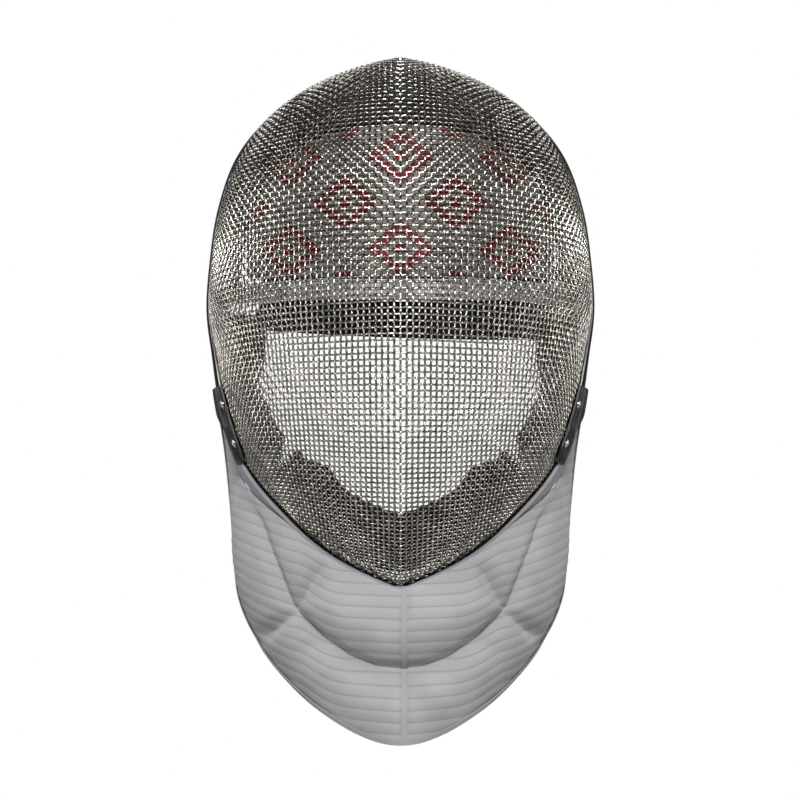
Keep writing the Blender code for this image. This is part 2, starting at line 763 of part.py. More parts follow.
def strap_frame(u):
    """The strap's middle line, its outward direction and its lower and upper edges."""
    turn = math.pi * (1 - u)
    x = STRAP_HALF_WIDTH * math.cos(turn)
    y = STRAP_FRONT_Y + (STRAP_REAR_Y - STRAP_FRONT_Y) * math.sin(turn)
    outward = Vector(
        (x / STRAP_HALF_WIDTH**2, (y - STRAP_FRONT_Y) / (STRAP_REAR_Y - STRAP_FRONT_Y) ** 2, 0)
    ).normalized()
    middle = STRAP_CENTRE_Z - STRAP_TILT * x
    full = eased(x, STRAP_NECK_X - STRAP_NECK_RUN, STRAP_NECK_X)
    if y < blend(STRAP_FRONT_Y, STRAP_REAR_Y, STRAP_LOOP_RUN) and x < 0:
        full = 0.0
    low = middle - STRAP_HEIGHT / 2
    high = blend(low + STRAP_LOOP_HEIGHT, middle + STRAP_HEIGHT / 2, full)
    return Vector((x, y, 0)), outward, low, high


def make_strap():
    def strap(u, v, w):
        point, outward, low, high = strap_frame(u)
        point += outward * (w - 0.5) * STRAP_THICKNESS
        return Vector((point.x, point.y, blend(low, high, v)))

    slab("back_strap", "black_elastic", *STRAP_FACES, strap)

    along, up, thick = ANCHOR_SIZE
    for side, name in ((-1, "left"), (1, "right")):
        seat = edge_point(side * 90.0, ANCHOR_FRONT, ANCHOR_OUT)

        def plate(u, v, w):
            level = STRAP_CENTRE_Z - STRAP_TILT * seat.x
            return Vector(
                (seat.x - side * w * thick, seat.y + u * along, level + (v - 0.5) * up)
            )

        slab(f"strap_anchor_{name}", "black_trim", 1, 1, plate)


def make_tongue():
    ys = [row.y for row in TONGUE]
    zs = [row.z for row in TONGUE]
    widths = [row.half_width for row in TONGUE]
    lengths = [0.0]
    for i in range(1, len(TONGUE)):
        lengths.append(lengths[-1] + math.hypot(ys[i] - ys[i - 1], zs[i] - zs[i - 1]))

    def middle(at):
        return Vector((0, smooth_value(lengths, ys, at), smooth_value(lengths, zs, at)))

    def place(u, v, w):
        at = v * lengths[-1]
        onward = (middle(min(at + 1, lengths[-1])) - middle(max(at - 1, 0))).normalized()
        out = Vector((1, 0, 0)).cross(onward)
        half = smooth_value(lengths, widths, at)
        point = middle(at) + out * (w - 0.5) * TONGUE_THICKNESS
        return point + Vector(((2 * u - 1) * half, 0, 0))

    slab("back_tongue", "dark_pad", *TONGUE_FACES, place)


def main():
    for thing in list(bpy.data.objects):
        bpy.data.objects.remove(thing, do_unlink=True)
    make_cage()
    make_rim()
    make_tabs()
    make_bib()
    make_pads()
    make_strap()
    make_tongue()


main()
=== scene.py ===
"""Looks of a fencing mask: woven wire cage, rim, pads, quilted bib, tabs and straps.

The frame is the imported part's: +X to the right of someone who looks at the front,
+Y to the back of the head, +Z up, origin where the head meets the crown pad.
Sizes held by the classes are millimetres and degrees. Vertices are written in metres.
"""

from __future__ import annotations

import json
import logging
import math
from dataclasses import dataclass, field
from enum import Enum
from functools import lru_cache
from typing import Callable, Iterable, Sequence

import bmesh
import bpy
from mathutils import Matrix, Vector
from mathutils.bvhtree import BVHTree

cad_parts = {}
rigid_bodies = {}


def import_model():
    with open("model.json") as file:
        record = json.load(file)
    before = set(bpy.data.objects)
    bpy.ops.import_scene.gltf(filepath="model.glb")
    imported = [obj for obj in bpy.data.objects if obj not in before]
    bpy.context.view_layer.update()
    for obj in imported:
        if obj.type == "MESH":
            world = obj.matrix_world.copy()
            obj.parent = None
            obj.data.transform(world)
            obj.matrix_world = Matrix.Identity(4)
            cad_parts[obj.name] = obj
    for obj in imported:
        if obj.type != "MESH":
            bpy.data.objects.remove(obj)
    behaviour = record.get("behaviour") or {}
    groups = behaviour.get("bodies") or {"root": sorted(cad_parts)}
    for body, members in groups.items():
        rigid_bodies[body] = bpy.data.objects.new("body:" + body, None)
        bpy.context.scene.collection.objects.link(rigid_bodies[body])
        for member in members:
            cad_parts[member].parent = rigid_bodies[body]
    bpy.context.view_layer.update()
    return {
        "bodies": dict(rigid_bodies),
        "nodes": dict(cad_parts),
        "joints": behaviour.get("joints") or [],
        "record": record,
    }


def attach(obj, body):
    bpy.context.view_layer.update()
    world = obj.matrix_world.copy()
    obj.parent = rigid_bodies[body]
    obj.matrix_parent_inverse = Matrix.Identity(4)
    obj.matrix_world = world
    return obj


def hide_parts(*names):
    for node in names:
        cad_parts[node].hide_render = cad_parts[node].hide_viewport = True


MM = 0.001
LOG = logging.getLogger("fencing_mask")
SheetPlace = Callable[[float, float], Vector]
SlabPlace = Callable[[float, float, float], Vector]


# --- Curves ---------------------------------------------------------------------------
def eased(at: float, start: float, end: float) -> float:
    """Returns 0 before start, 1 after end and a smooth rise between."""
    t = min(1.0, max(0.0, (at - start) / (end - start)))
    return t * t * (3 - 2 * t)


def blend(a: float, b: float, share: float) -> float:
    """Returns the value that lies this share of the way from a to b."""
    return a + (b - a) * share


def wrapped(angle: float) -> float:
    """Returns the same direction between -180 and 180 degrees."""
    return (angle + 180.0) % 360.0 - 180.0


def through(
    knots: Sequence[float], values: Sequence[float], at: float, first: float | None = None
) -> float:
    """Reads a smooth curve through values at rising knots.

    Args:
        knots: Where the values stand.
        values: One value for each knot.
        at: Where the curve is read.
        first: The slope at the first knot, or None for that of the first step.

    Returns:
        The curve's value.
    """
    steps = [b - a for a, b in zip(knots, knots[1:])]
    rises = [(b - a) / h for a, b, h in zip(values, values[1:], steps)]
    inner = [
        (rises[i] * steps[i - 1] + rises[i - 1] * steps[i]) / (steps[i - 1] + steps[i])
        for i in range(1, len(steps))
    ]
    slopes = [rises[0] if first is None else first, *inner, rises[-1]]
    i = 0
    while i < len(steps) - 1 and at > knots[i + 1]:
        i += 1
    h = steps[i]
    t = (at - knots[i]) / h
    return (
        (1 + 2 * t) * (1 - t) ** 2 * values[i]
        + t * (1 - t) ** 2 * h * slopes[i]
        + t * t * (3 - 2 * t) * values[i + 1]
        + t * t * (t - 1) * h * slopes[i + 1]
    )


# --- The bowl that every piece of the cage follows ----------------------------------------
@dataclass(frozen=True)
class RimStation:
    """The mesh edge in one direction from straight up (0) to straight down (180)."""

    angle: float
    radius: float
    depth: float


@dataclass(frozen=True)
class Fullness:
    """How much of the rim's radius the bowl reaches at each depth, in one direction."""

    angle: float
    shares: tuple[float, ...]


POLE = Vector((0.0, -110.0, -117.0))
DEPTH_SHARES = (0.05, 0.15, 0.30, 0.50, 0.75)
RIM_STATIONS = (
    RimStation(0, 128.4, 143.0),
    RimStation(15, 127.8, 142.0),
    RimStation(30, 125.4, 140.0),
    RimStation(45, 119.6, 137.0),
    RimStation(60, 110.2, 134.0),
    RimStation(75, 103.1, 131.0),
    RimStation(90, 101.2, 129.0),
    RimStation(105, 101.6, 128.0),
    RimStation(120, 107.8, 124.0),
    RimStation(135, 118.4, 119.0),
    RimStation(150, 126.5, 112.0),
    RimStation(165, 137.8, 104.0),
    RimStation(180, 146.0, 97.0),
)
FULLNESS = (
    Fullness(0, (0.335, 0.600, 0.815, 0.955, 0.999)),
    Fullness(45, (0.313, 0.571, 0.774, 0.918, 0.982)),
    Fullness(90, (0.291, 0.547, 0.742, 0.895, 0.982)),
    Fullness(135, (0.270, 0.475, 0.640, 0.795, 0.912)),
    Fullness(180, (0.257, 0.425, 0.578, 0.745, 0.886)),
)
CREASE_AT_POLE = 5.0
CREASE_AT_CROWN = 2.8
CREASE_AT_CHIN = 4.4
CREASE_HALF_WIDTH = 45.0


def by_direction(angles: Sequence[float], values: Sequence[float], at: float) -> float:
    """Reads a value round the bowl, mirrored at the crown and run straight at the chin."""
    return through([2 * angles[0] - angles[1], *angles], [values[1], *values], at)


@lru_cache(maxsize=None)
def meridian(angle: float) -> tuple[tuple[float, ...], tuple[float, ...], tuple[float, ...]]:
    """Traces the bowl from its pole to its rim in one direction.

    Args:
        angle: The direction, from 0 to 180 degrees.

    Returns:
        The lengths along the wall, the radii and the depths of its knots.
    """
    angles = [station.angle for station in RIM_STATIONS]
    radius = by_direction(angles, [station.radius for station in RIM_STATIONS], angle)
    depth = by_direction(angles, [station.depth for station in RIM_STATIONS], angle)
    full_angles = [row.angle for row in FULLNESS]
    radii = [0.0]
    depths = [0.0]
    for i, share in enumerate(DEPTH_SHARES):
        full = by_direction(full_angles, [row.shares[i] for row in FULLNESS], angle)
        radii.append(radius * full)
        depths.append(depth * share)
    radii.append(radius)
    depths.append(depth)
    lengths = [0.0]
    for i in range(1, len(radii)):
        step = math.hypot(radii[i] - radii[i - 1], depths[i] - depths[i - 1])
        lengths.append(lengths[-1] + step)
    return tuple(lengths), tuple(radii), tuple(depths)


def wall_length(angle: float) -> float:
    """Returns the length along the wall from the pole to the rim."""
    return meridian(round(abs(wrapped(angle)), 3))[0][-1]


def bowl_point(angle: float, share: float) -> Vector:
    """Finds a point of the smooth bowl, without its crease.

    Args:
        angle: The direction round the bowl, negative to the left.
        share: How far along the wall, from the pole (0) to the rim (1).

    Returns:
        The point, in millimetres.
    """
    lengths, radii, depths = meridian(round(abs(angle), 3))
    at = share * lengths[-1]
    radius = through(lengths, radii, at, first=1.0)
    depth = through(lengths, depths, at, first=0.0)
    turn = math.radians(angle)
    return POLE + Vector((radius * math.sin(turn), depth, radius * math.cos(turn)))


def bowl_normal(angle: float, share: float) -> Vector:
    """Returns the way out of the bowl."""
    if share < 0.02:
        return Vector((0, -1, 0))
    along = bowl_point(angle, share + 0.01) - bowl_point(angle, share - 0.01)
    around = bowl_point(wrapped(angle + 0.5), share) - bowl_point(wrapped(angle - 0.5), share)
    return around.cross(along).normalized()


def cage_point(angle: float, share: float, out: float = 0.0) -> Vector:
    """Finds a point on the middle of the mesh wall with its crease, or out from it.

    Args:
        angle: The direction round the bowl.
        share: How far along the wall.
        out: The distance out from the wall.

    Returns:
        The point, in millimetres.
    """
    base = bowl_point(angle, share)
    edge = blend(CREASE_AT_CROWN, CREASE_AT_CHIN, eased(abs(angle), 0, 180))
    height = blend(CREASE_AT_POLE, edge, share)
    height *= max(0.0, 1 - abs(base.x) / CREASE_HALF_WIDTH) ** 2
    return base + bowl_normal(angle, share) * (height + out)


def edge_point(angle: float, back: float, out: float) -> Vector:
    """Finds a point near the mesh edge.

    Args:
        angle: The direction round the bowl.
        back: The distance along the wall from the mesh edge, negative in front of it.
        out: The distance out from the wall.

    Returns:
        The point, in millimetres.
    """
    angle = wrapped(angle)
    point = cage_point(angle, 1 + min(back, 0.0) / wall_length(angle), out)
    if back > 0:
        along = cage_point(angle, 1.0) - cage_point(angle, 0.97)
        point += along.normalized() * back
    return point


def farthest(inside: Callable[[float], bool], limit: float) -> float:
    """Finds the largest value for which a test still holds.

    Args:
        inside: The test, which holds at 0 and no more past the value sought.
        limit: Where the search ends.

    Returns:
        The value.
    """
    low, high = 0.0, limit
    for _ in range(24):
        middle = (low + high) / 2
        if inside(middle):
            low = middle
        else:
            high = middle
    return low


@lru_cache(maxsize=None)
def share_at_radius(angle: float, radius: float) -> float:
    """Returns how far along the wall this radius is first reached."""

    def inside(share: float) -> bool:
        point = bowl_point(angle, share)
        return math.hypot(point.x, point.z - POLE.z) < radius

    return farthest(inside, 1.0)


def bowl_at(x: float, z: float, out: float) -> Vector:
    """Finds the point of the smooth bowl in front of (x, z), moved along its normal."""
    angle = math.degrees(math.atan2(x, z - POLE.z))
    share = share_at_radius(angle, math.hypot(x, z - POLE.z))
    return bowl_point(angle, share) + bowl_normal(angle, share) * out


# --- Meshes ----------------------------------------------------------------------------------
def grid(
    columns: int, rows: int, place: SheetPlace, size: tuple[float, float] = (1.0, 1.0)
) -> bmesh.types.BMesh:
    """Bends a flat grid into an open sheet.

    Args:
        columns: Faces across, the u of each place.
        rows: Faces along, the v of each place.
        place: Gives the point in millimetres for each u and v from 0 to 1.
        size: Width and length in millimetres that the UV map runs over.

    Returns:
        The sheet. Its UV map holds metres across and along it.
    """
    mesh = bmesh.new()
    bmesh.ops.create_grid(mesh, x_segments=columns, y_segments=rows, size=0.5)
    bmesh.ops.translate(mesh, verts=mesh.verts, vec=(0.5, 0.5, 0.0))
    layer = mesh.loops.layers.uv.new("UVMap")
    for face in mesh.faces:
        for loop in face.loops:
            u, v, _ = loop.vert.co
            loop[layer].uv = (u * size[0] * MM, v * size[1] * MM)
    for vertex in mesh.verts:
        vertex.co = place(vertex.co.x, vertex.co.y) * MM
    return mesh


def slab(
    columns: int,
    rows: int,
    place: SlabPlace,
    ring: bool = False,
    size: tuple[float, float] = (1.0, 1.0),
) -> bmesh.types.BMesh:
    """Bends a flat slab into a closed shape.

    Args:
        columns: Faces across, the u of each place.
        rows: Faces along, the v of each place.
        place: Gives the point in millimetres for each u, v and w from 0 to 1.
        ring: Whether the last column joins the first.
        size: Width and length in millimetres that the UV map runs over.

    Returns:
        The shape. Its UV map holds metres across and along it.
    """
    mesh = bmesh.new()
    bmesh.ops.create_grid(mesh, x_segments=columns, y_segments=rows, size=0.5)
    bmesh.ops.translate(mesh, verts=mesh.verts, vec=(0.5, 0.5, 0.0))
    grown = bmesh.ops.extrude_face_region(mesh, geom=mesh.faces[:])["geom"]
    upper = [item for item in grown if isinstance(item, bmesh.types.BMVert)]
    bmesh.ops.translate(mesh, verts=upper, vec=(0.0, 0.0, 1.0))
    layer = mesh.loops.layers.uv.new("UVMap")
    ends = []
    for face in mesh.faces:
        across = {round(vertex.co.x, 5) for vertex in face.verts}
        if ring and (across == {0.0} or across == {1.0}):
            ends.append(face)
        for loop in face.loops:
            u, v, w = loop.vert.co
            loop[layer].uv = (u * size[0] * MM, (v + w * MM) * size[1] * MM)
    bmesh.ops.delete(mesh, geom=ends, context="FACES")
    for vertex in mesh.verts:
        vertex.co = place(*vertex.co) * MM
    if ring:
        bmesh.ops.remove_doubles(mesh, verts=mesh.verts, dist=1e-6)
    bmesh.ops.recalc_face_normals(mesh, faces=mesh.faces)
    if mesh.calc_volume(signed=True) < 0:
        bmesh.ops.reverse_faces(mesh, faces=mesh.faces)
    return mesh


def finished(
    name: str, mesh: bmesh.types.BMesh, finish: bpy.types.Material, sharp: float = 40.0
) -> bpy.types.Object:
    """Makes a smooth-shaded object of a bmesh, at the origin.

    Args:
        name: The piece's name.
        mesh: Its shape, which is freed.
        finish: Its material.
        sharp: The angle from which an edge stays sharp.

    Returns:
        The object.
    """
    data = bpy.data.meshes.new(name)
    mesh.to_mesh(data)
    mesh.free()
    data.shade_smooth()
    data.set_sharp_from_angle(angle=math.radians(sharp))
    data.materials.append(finish)
    thing = bpy.data.objects.new(name, data)
    bpy.context.scene.collection.objects.link(thing)
    return thing


def rounded(piece: bpy.types.Object, width: float, segments: int = 2) -> bpy.types.Object:
    """Rounds a piece's edges with a live bevel of this width in millimetres."""
    bevel = piece.modifiers.new("rounding", "BEVEL")
    bevel.width = width * MM
    bevel.segments = segments
    bevel.limit_method = "ANGLE"
    bevel.angle_limit = math.radians(40)
    bevel.harden_normals = True
    return piece


def dressed(piece: bpy.types.Object, slot: str, *nodes: str) -> bpy.types.Object:
    """Gives a piece its body, hides the nodes that it stands for, and logs it.

    Args:
        piece: The finished piece.
        slot: The record's material slot; not used.
        nodes: The nodes that it replaces.

    Returns:
        The same piece.
    """
    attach(piece, "root")
    if nodes:
        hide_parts(*nodes)
    LOG.info("%s: %d faces", piece.name, len(piece.data.polygons))
    return piece


# --- Shader node groups ------------------------------------------------------------------------
def group_value(
    tree: bpy.types.NodeTree, kind: str, name: str, start: float | None = None
) -> None:
    """Adds one input or output to a node group.

    Args:
        tree: The group.
        kind: INPUT or OUTPUT.
        name: The socket's name; "Vector" makes a vector socket.
        start: Its default value.
    """
    socket_type = "NodeSocketVector" if name == "Vector" else "NodeSocketFloat"
    socket = tree.interface.new_socket(name=name, in_out=kind, socket_type=socket_type)
    if start is not None:
        socket.default_value = start


class NodeHand:
    """A short hand for adding and joining nodes of one tree."""

    def __init__(self, tree: bpy.types.NodeTree) -> None:
        """Keeps the tree."""
        self.tree = tree

    def add(self, kind: str, **settings: object) -> bpy.types.Node:
        """Adds a node and sets its named properties."""
        node = self.tree.nodes.new(kind)
        for key, value in settings.items():
            setattr(node, key, value)
        return node

    def join(self, source: object, target: bpy.types.NodeSocket) -> None:
        """Links a socket, or writes a plain value, to a socket."""
        if isinstance(source, bpy.types.NodeSocket):
            self.tree.links.new(source, target)
        else:
            target.default_value = source

    def sum(self, operation: str, *terms: object) -> bpy.types.NodeSocket:
        """Returns a math node's result over sockets or numbers."""
        node = self.add("ShaderNodeMath", operation=operation)
        for place, term in enumerate(terms):
            self.join(term, node.inputs[place])
        return node.outputs[0]

    def split(self, vector: bpy.types.NodeSocket) -> bpy.types.Node:
        """Returns a node with the vector's X, Y and Z."""
        node = self.add("ShaderNodeSeparateXYZ")
        self.join(vector, node.inputs[0])
        return node


@lru_cache(maxsize=None)
def weave_group() -> bpy.types.NodeTree:
    """Builds the plain weave: a height that rises and falls with each crossing thread."""
    tree = bpy.data.node_groups.new("plain_weave", "ShaderNodeTree")
    group_value(tree, "INPUT", "Vector")
    group_value(tree, "INPUT", "Threads", 2000.0)
    group_value(tree, "OUTPUT", "Height")
    hand = NodeHand(tree)
    given = hand.add("NodeGroupInput")
    result = hand.add("NodeGroupOutput")
    parts = hand.split(given.outputs["Vector"])
    turns = hand.sum("MULTIPLY", given.outputs["Threads"], math.pi)
    waves = [
        hand.sum("SINE", hand.sum("MULTIPLY", parts.outputs[place], turns)) for place in (0, 1)
    ]
    crossing = hand.sum("MULTIPLY", *waves)
    hand.join(hand.sum("MULTIPLY_ADD", crossing, 0.5, 0.5), result.inputs["Height"])
    return tree


@lru_cache(maxsize=None)
def mottle_group() -> bpy.types.NodeTree:
    """Builds the uneven tone that cloth, foam covers and metal share."""
    tree = bpy.data.node_groups.new("mottle", "ShaderNodeTree")
    group_value(tree, "INPUT", "Vector")
    group_value(tree, "INPUT", "Coarse", 60.0)
    group_value(tree, "INPUT", "Fine", 1500.0)
    group_value(tree, "OUTPUT", "Tone")
    group_value(tree, "OUTPUT", "Grain")
    hand = NodeHand(tree)
    given = hand.add("NodeGroupInput")
    result = hand.add("NodeGroupOutput")
    for size, target, detail in (("Coarse", "Tone", 4.0), ("Fine", "Grain", 2.0)):
        cloud = hand.add("ShaderNodeTexNoise")
        cloud.inputs["Detail"].default_value = detail
        hand.join(given.outputs["Vector"], cloud.inputs["Vector"])
        hand.join(given.outputs[size], cloud.inputs["Scale"])
        hand.join(cloud.outputs["Fac"], result.inputs[target])
    return tree


class Dye(NodeHand):
    """One material under way: its shader, its coordinates and the shared effects."""

    def __init__(self, name: str, roughness: float, metallic: float = 0.0) -> None:
        """Starts a material with its Principled shader."""
        self.material = bpy.data.materials.new(name)
        self.material.use_nodes = True
        super().__init__(self.material.node_tree)
        self.shader = self.tree.nodes["Principled BSDF"]
        self.shader.inputs["Roughness"].default_value = roughness
        self.shader.inputs["Metallic"].default_value = metallic
        self.coordinates = self.add("ShaderNodeTexCoord")

    def group(self, tree: bpy.types.NodeTree, space: str, **values: float) -> bpy.types.Node:
        """Places a shared effect that reads Object or UV coordinates.

        Args:
            tree: The effect's node group.
            space: Object or UV.
            values: Its inputs by name.

        Returns:
            The group node.
        """
        node = self.add("ShaderNodeGroup", node_tree=tree)
        self.join(self.coordinates.outputs[space], node.inputs["Vector"])
        for key, value in values.items():
            node.inputs[key].default_value = value
        return node

    def between(self, share: bpy.types.NodeSocket, low: Sequence[float], high: Sequence[float],
                start: float = 0.0, end: float = 1.0) -> bpy.types.NodeSocket:
        """Returns a colour that runs from low to high as the share runs from start to end."""
        ramp = self.add("ShaderNodeValToRGB")
        for place, (at, colour) in enumerate(((start, low), (end, high))):
            ramp.color_ramp.elements[place].position = at
            ramp.color_ramp.elements[place].color = (*colour, 1.0)
        self.join(share, ramp.inputs["Fac"])
        return ramp.outputs["Color"]

    def mixed(
        self, share: bpy.types.NodeSocket, low: object, high: object
    ) -> bpy.types.NodeSocket:
        """Returns two colours mixed by a share."""
        mix = self.add("ShaderNodeMix", data_type="RGBA")
        self.join(share, mix.inputs["Factor"])
        for place, colour in ((6, low), (7, high)):
            self.join(colour if isinstance(colour, bpy.types.NodeSocket) else (*colour, 1.0),
                      mix.inputs[place])
        return mix.outputs[2]

    def raise_by(self, height: bpy.types.NodeSocket, millimetres: float, strength: float) -> None:
        """Wires a height in millimetres to the shader's normal."""
        bump = self.add("ShaderNodeBump")
        bump.inputs["Strength"].default_value = strength
        bump.inputs["Distance"].default_value = millimetres * MM
        self.join(height, bump.inputs["Height"])
        self.join(bump.outputs["Normal"], self.shader.inputs["Normal"])


# --- Finishes --------------------------------------------------------------------------------------
@dataclass(frozen=True)
class SteelFinish:
    """Steel with a duller tone in its grain."""

    name: str
    dark: tuple[float, float, float]
    light: tuple[float, float, float]
    roughness: float
    coarse: float = 120.0

    def material(self) -> bpy.types.Material:
        """Builds the material."""
        dye = Dye(self.name, self.roughness, metallic=1.0)
        mottle = dye.group(mottle_group(), "Object", Coarse=self.coarse, Fine=2600.0)
        tone = dye.between(mottle.outputs["Tone"], self.dark, self.light, 0.32, 0.68)
        dye.join(tone, dye.shader.inputs["Base Color"])
        dye.raise_by(mottle.outputs["Grain"], 0.02, 0.4)
        return dye.material


@dataclass(frozen=True)
class RubberFinish:
    """Black rubber or plastic with a soft shine and fine scuffs."""

    name: str
    dark: tuple[float, float, float] = (0.010, 0.011, 0.012)
    scuffed: tuple[float, float, float] = (0.030, 0.032, 0.034)
    roughness: float = 0.42
    shine: float = 0.5

    def material(self) -> bpy.types.Material:
        """Builds the material."""
        dye = Dye(self.name, self.roughness)
        dye.shader.inputs["Specular IOR Level"].default_value = self.shine
        mottle = dye.group(mottle_group(), "Object", Coarse=160.0, Fine=1800.0)
        tone = dye.between(mottle.outputs["Tone"], self.dark, self.scuffed, 0.45, 0.8)
        dye.join(tone, dye.shader.inputs["Base Color"])
        rough = dye.sum("MULTIPLY_ADD", mottle.outputs["Tone"], 0.3, self.roughness - 0.15)
        dye.join(rough, dye.shader.inputs["Roughness"])
        dye.raise_by(mottle.outputs["Grain"], 0.05, 0.35)
        return dye.material


@dataclass(frozen=True)
class ClothFinish:
    """Woven cloth that follows its UV map, with an uneven tone.

    The weave's low spots between threads are darkened as painted shade. The darkened line pitch is the
    distance between darkened lines across the UV map's second axis,
    in millimetres, or 0 for none: these lines are painted shade in grooves, along the quilted
    bib's sewn lines together with their stitching and between the webbing's ribs. The painted
    edge shadow width is how far a painted shadow line reaches along that axis from its start,
    in millimetres, or 0 for none.
    """

    name: str
    shaded: tuple[float, float, float]
    lit: tuple[float, float, float]
    threads: float = 1700.0
    weave_height: float = 0.10
    # darkened lines: painted shade in grooves, on the bib with its stitching
    darkened_line_pitch: float = 0.0
    darkened_line_width: float = 0.07
    painted_groove_shade: float = 0.55
    sheen: float = 0.25
    # colour and reach of a painted shadow line along the cloth's edge
    painted_edge_shadow_colour: tuple[float, float, float] = (0.03, 0.03, 0.03)
    painted_edge_shadow_width: float = 0.0

    def material(self) -> bpy.types.Material:
        """Builds the material."""
        dye = Dye(self.name, 0.85)
        dye.shader.inputs["Sheen Weight"].default_value = self.sheen
        dye.shader.inputs["Sheen Roughness"].default_value = 0.6
        mottle = dye.group(mottle_group(), "Object", Coarse=45.0, Fine=1400.0)
        weave = dye.group(weave_group(), "UV", Threads=self.threads)
        height = dye.sum("MULTIPLY_ADD", mottle.outputs["Grain"], 0.5, weave.outputs["Height"])
        colour = dye.between(mottle.outputs["Tone"], self.shaded, self.lit, 0.3, 0.7)
        # painted shade: darker where the weave dips between threads
        painted_cloth_shade = dye.sum("MULTIPLY_ADD", weave.outputs["Height"], 0.22, 0.78)
        # painted shade along grooves: the bib's sewn lines with their stitching, the webbing's ribs
        if self.darkened_line_pitch:
            along = dye.split(dye.coordinates.outputs["UV"]).outputs[1]
            turns = dye.sum("DIVIDE", along, self.darkened_line_pitch * MM)
            off_line = dye.sum("PINGPONG", turns, 0.5)
            seam = dye.add("ShaderNodeMapRange", interpolation_type="SMOOTHSTEP")
            seam.inputs["From Max"].default_value = self.darkened_line_width
            seam.inputs["To Min"].default_value = self.painted_groove_shade
            dye.join(off_line, seam.inputs["Value"])
            painted_cloth_shade = dye.sum("MULTIPLY", painted_cloth_shade, seam.outputs["Result"])
        shade = dye.add("ShaderNodeMix", data_type="RGBA", blend_type="MULTIPLY")
        shade.inputs["Factor"].default_value = 1.0
        dye.join(colour, shade.inputs[6])
        dye.join(painted_cloth_shade, shade.inputs[7])
        tone = shade.outputs[2]
        # painted shadow line along the edge where the UV map's second axis starts
        if self.painted_edge_shadow_width:
            along = dye.split(dye.coordinates.outputs["UV"]).outputs[1]
            painted_edge_shadow = dye.sum("LESS_THAN", along, self.painted_edge_shadow_width * MM)
            tone = dye.mixed(painted_edge_shadow, tone, self.painted_edge_shadow_colour)
        dye.join(tone, dye.shader.inputs["Base Color"])
        dye.raise_by(height, self.weave_height, 0.6)
        return dye.material


class Motif(Enum):
    """What is printed on a padding cover."""

    PLAIN = "plain"
    LOZENGES = "lozenges"


@dataclass(frozen=True)
class FeltFinish:
    """The napped cover of a foam pad, plain or printed with a lattice of lozenges."""

    name: str
    shaded: tuple[float, float, float]
    lit: tuple[float, float, float]
    motif: Motif = Motif.PLAIN
    print_colour: tuple[float, float, float] = (0.22, 0.010, 0.020)
    lattice: tuple[float, float] = (27.0, 23.0)  # half the lozenges' spacing, in millimetres
    filled: float = 0.62  # how much of each cell a lozenge fills
    sheen: float = 0.3

    def printed(self, dye: Dye, colour: bpy.types.NodeSocket) -> bpy.types.NodeSocket:
        """Lays the lozenges over the cover's colour.

        Args:
            dye: The material under way.
            colour: The cover's colour.

        Returns:
            The colour with its print.
        """
        parts = dye.split(dye.coordinates.outputs["Object"])
        across, up = (
            dye.sum(
                "DIVIDE", dye.sum("PINGPONG", parts.outputs[place], half * MM), half * MM
            )
            for place, half in ((0, self.lattice[0]), (2, self.lattice[1]))
        )
        reach = dye.sum("ADD", across, up)
        middle = dye.sum("ABSOLUTE", dye.sum("SUBTRACT", reach, 1.0))
        outline = dye.sum("GREATER_THAN", middle, 1.0 - self.filled)
        ring = dye.sum("LESS_THAN", middle, 1.0 - self.filled * 0.55)
        heart = dye.sum("GREATER_THAN", middle, 1.0 - self.filled * 0.25)
        mask = dye.sum("MAXIMUM", dye.sum("MULTIPLY", outline, ring), heart)
        return dye.mixed(mask, colour, self.print_colour)

    def material(self) -> bpy.types.Material:
        """Builds the material."""
        dye = Dye(self.name, 0.92)
        dye.shader.inputs["Sheen Weight"].default_value = self.sheen
        mottle = dye.group(mottle_group(), "Object", Coarse=70.0, Fine=1100.0)
        colour = dye.between(mottle.outputs["Tone"], self.shaded, self.lit, 0.3, 0.7)
        if self.motif is Motif.LOZENGES:
            colour = self.printed(dye, colour)
        dye.join(colour, dye.shader.inputs["Base Color"])
        dye.raise_by(mottle.outputs["Grain"], 0.25, 0.5)
        return dye.material


WIRE = SteelFinish("wire_steel", (0.30, 0.285, 0.255), (0.60, 0.575, 0.525), 0.17)
RIM = SteelFinish("rim_strip_steel", (0.28, 0.28, 0.27), (0.48, 0.48, 0.46), 0.34)
RIVET = SteelFinish("rivet_bright_steel", (0.55, 0.55, 0.54), (0.80, 0.80, 0.78), 0.20)
TRIM = RubberFinish("trim_rubber", roughness=0.62, shine=0.25)
TAB = RubberFinish("tab_leatherette", (0.012, 0.014, 0.013), (0.075, 0.085, 0.080), 0.36)
# sewn lines darkened: the stitching plus painted shade in the valleys they pull
QUILT = ClothFinish(
    "quilted_cloth", (0.375, 0.375, 0.39), (0.45, 0.45, 0.465), darkened_line_pitch=5.8,
    darkened_line_width=0.17, painted_groove_shade=0.78,
)  # fmt: skip
TAPE = ClothFinish("binding_tape", (0.33, 0.33, 0.345), (0.39, 0.39, 0.405), threads=2200.0)
SEAM_TAPE = ClothFinish("seam_tape", (0.35, 0.35, 0.365), (0.42, 0.42, 0.435), threads=2200.0)
# its lip turned down at the mesh gets a painted shadow line, for the gap to the mesh
RIM_TAPE = ClothFinish(
    "rim_tape", (0.38, 0.385, 0.41), (0.45, 0.455, 0.48), threads=2200.0, sheen=0.1,
    painted_edge_shadow_colour=(0.060, 0.038, 0.034), painted_edge_shadow_width=2.4,
)  # fmt: skip
# the dark lines on its rib grooves are painted shade
ELASTIC = ClothFinish(
    "black_webbing", (0.006, 0.006, 0.007), (0.012, 0.012, 0.013), threads=1300.0,
    weave_height=0.2, darkened_line_pitch=1.6, darkened_line_width=0.2, sheen=0.05,
)
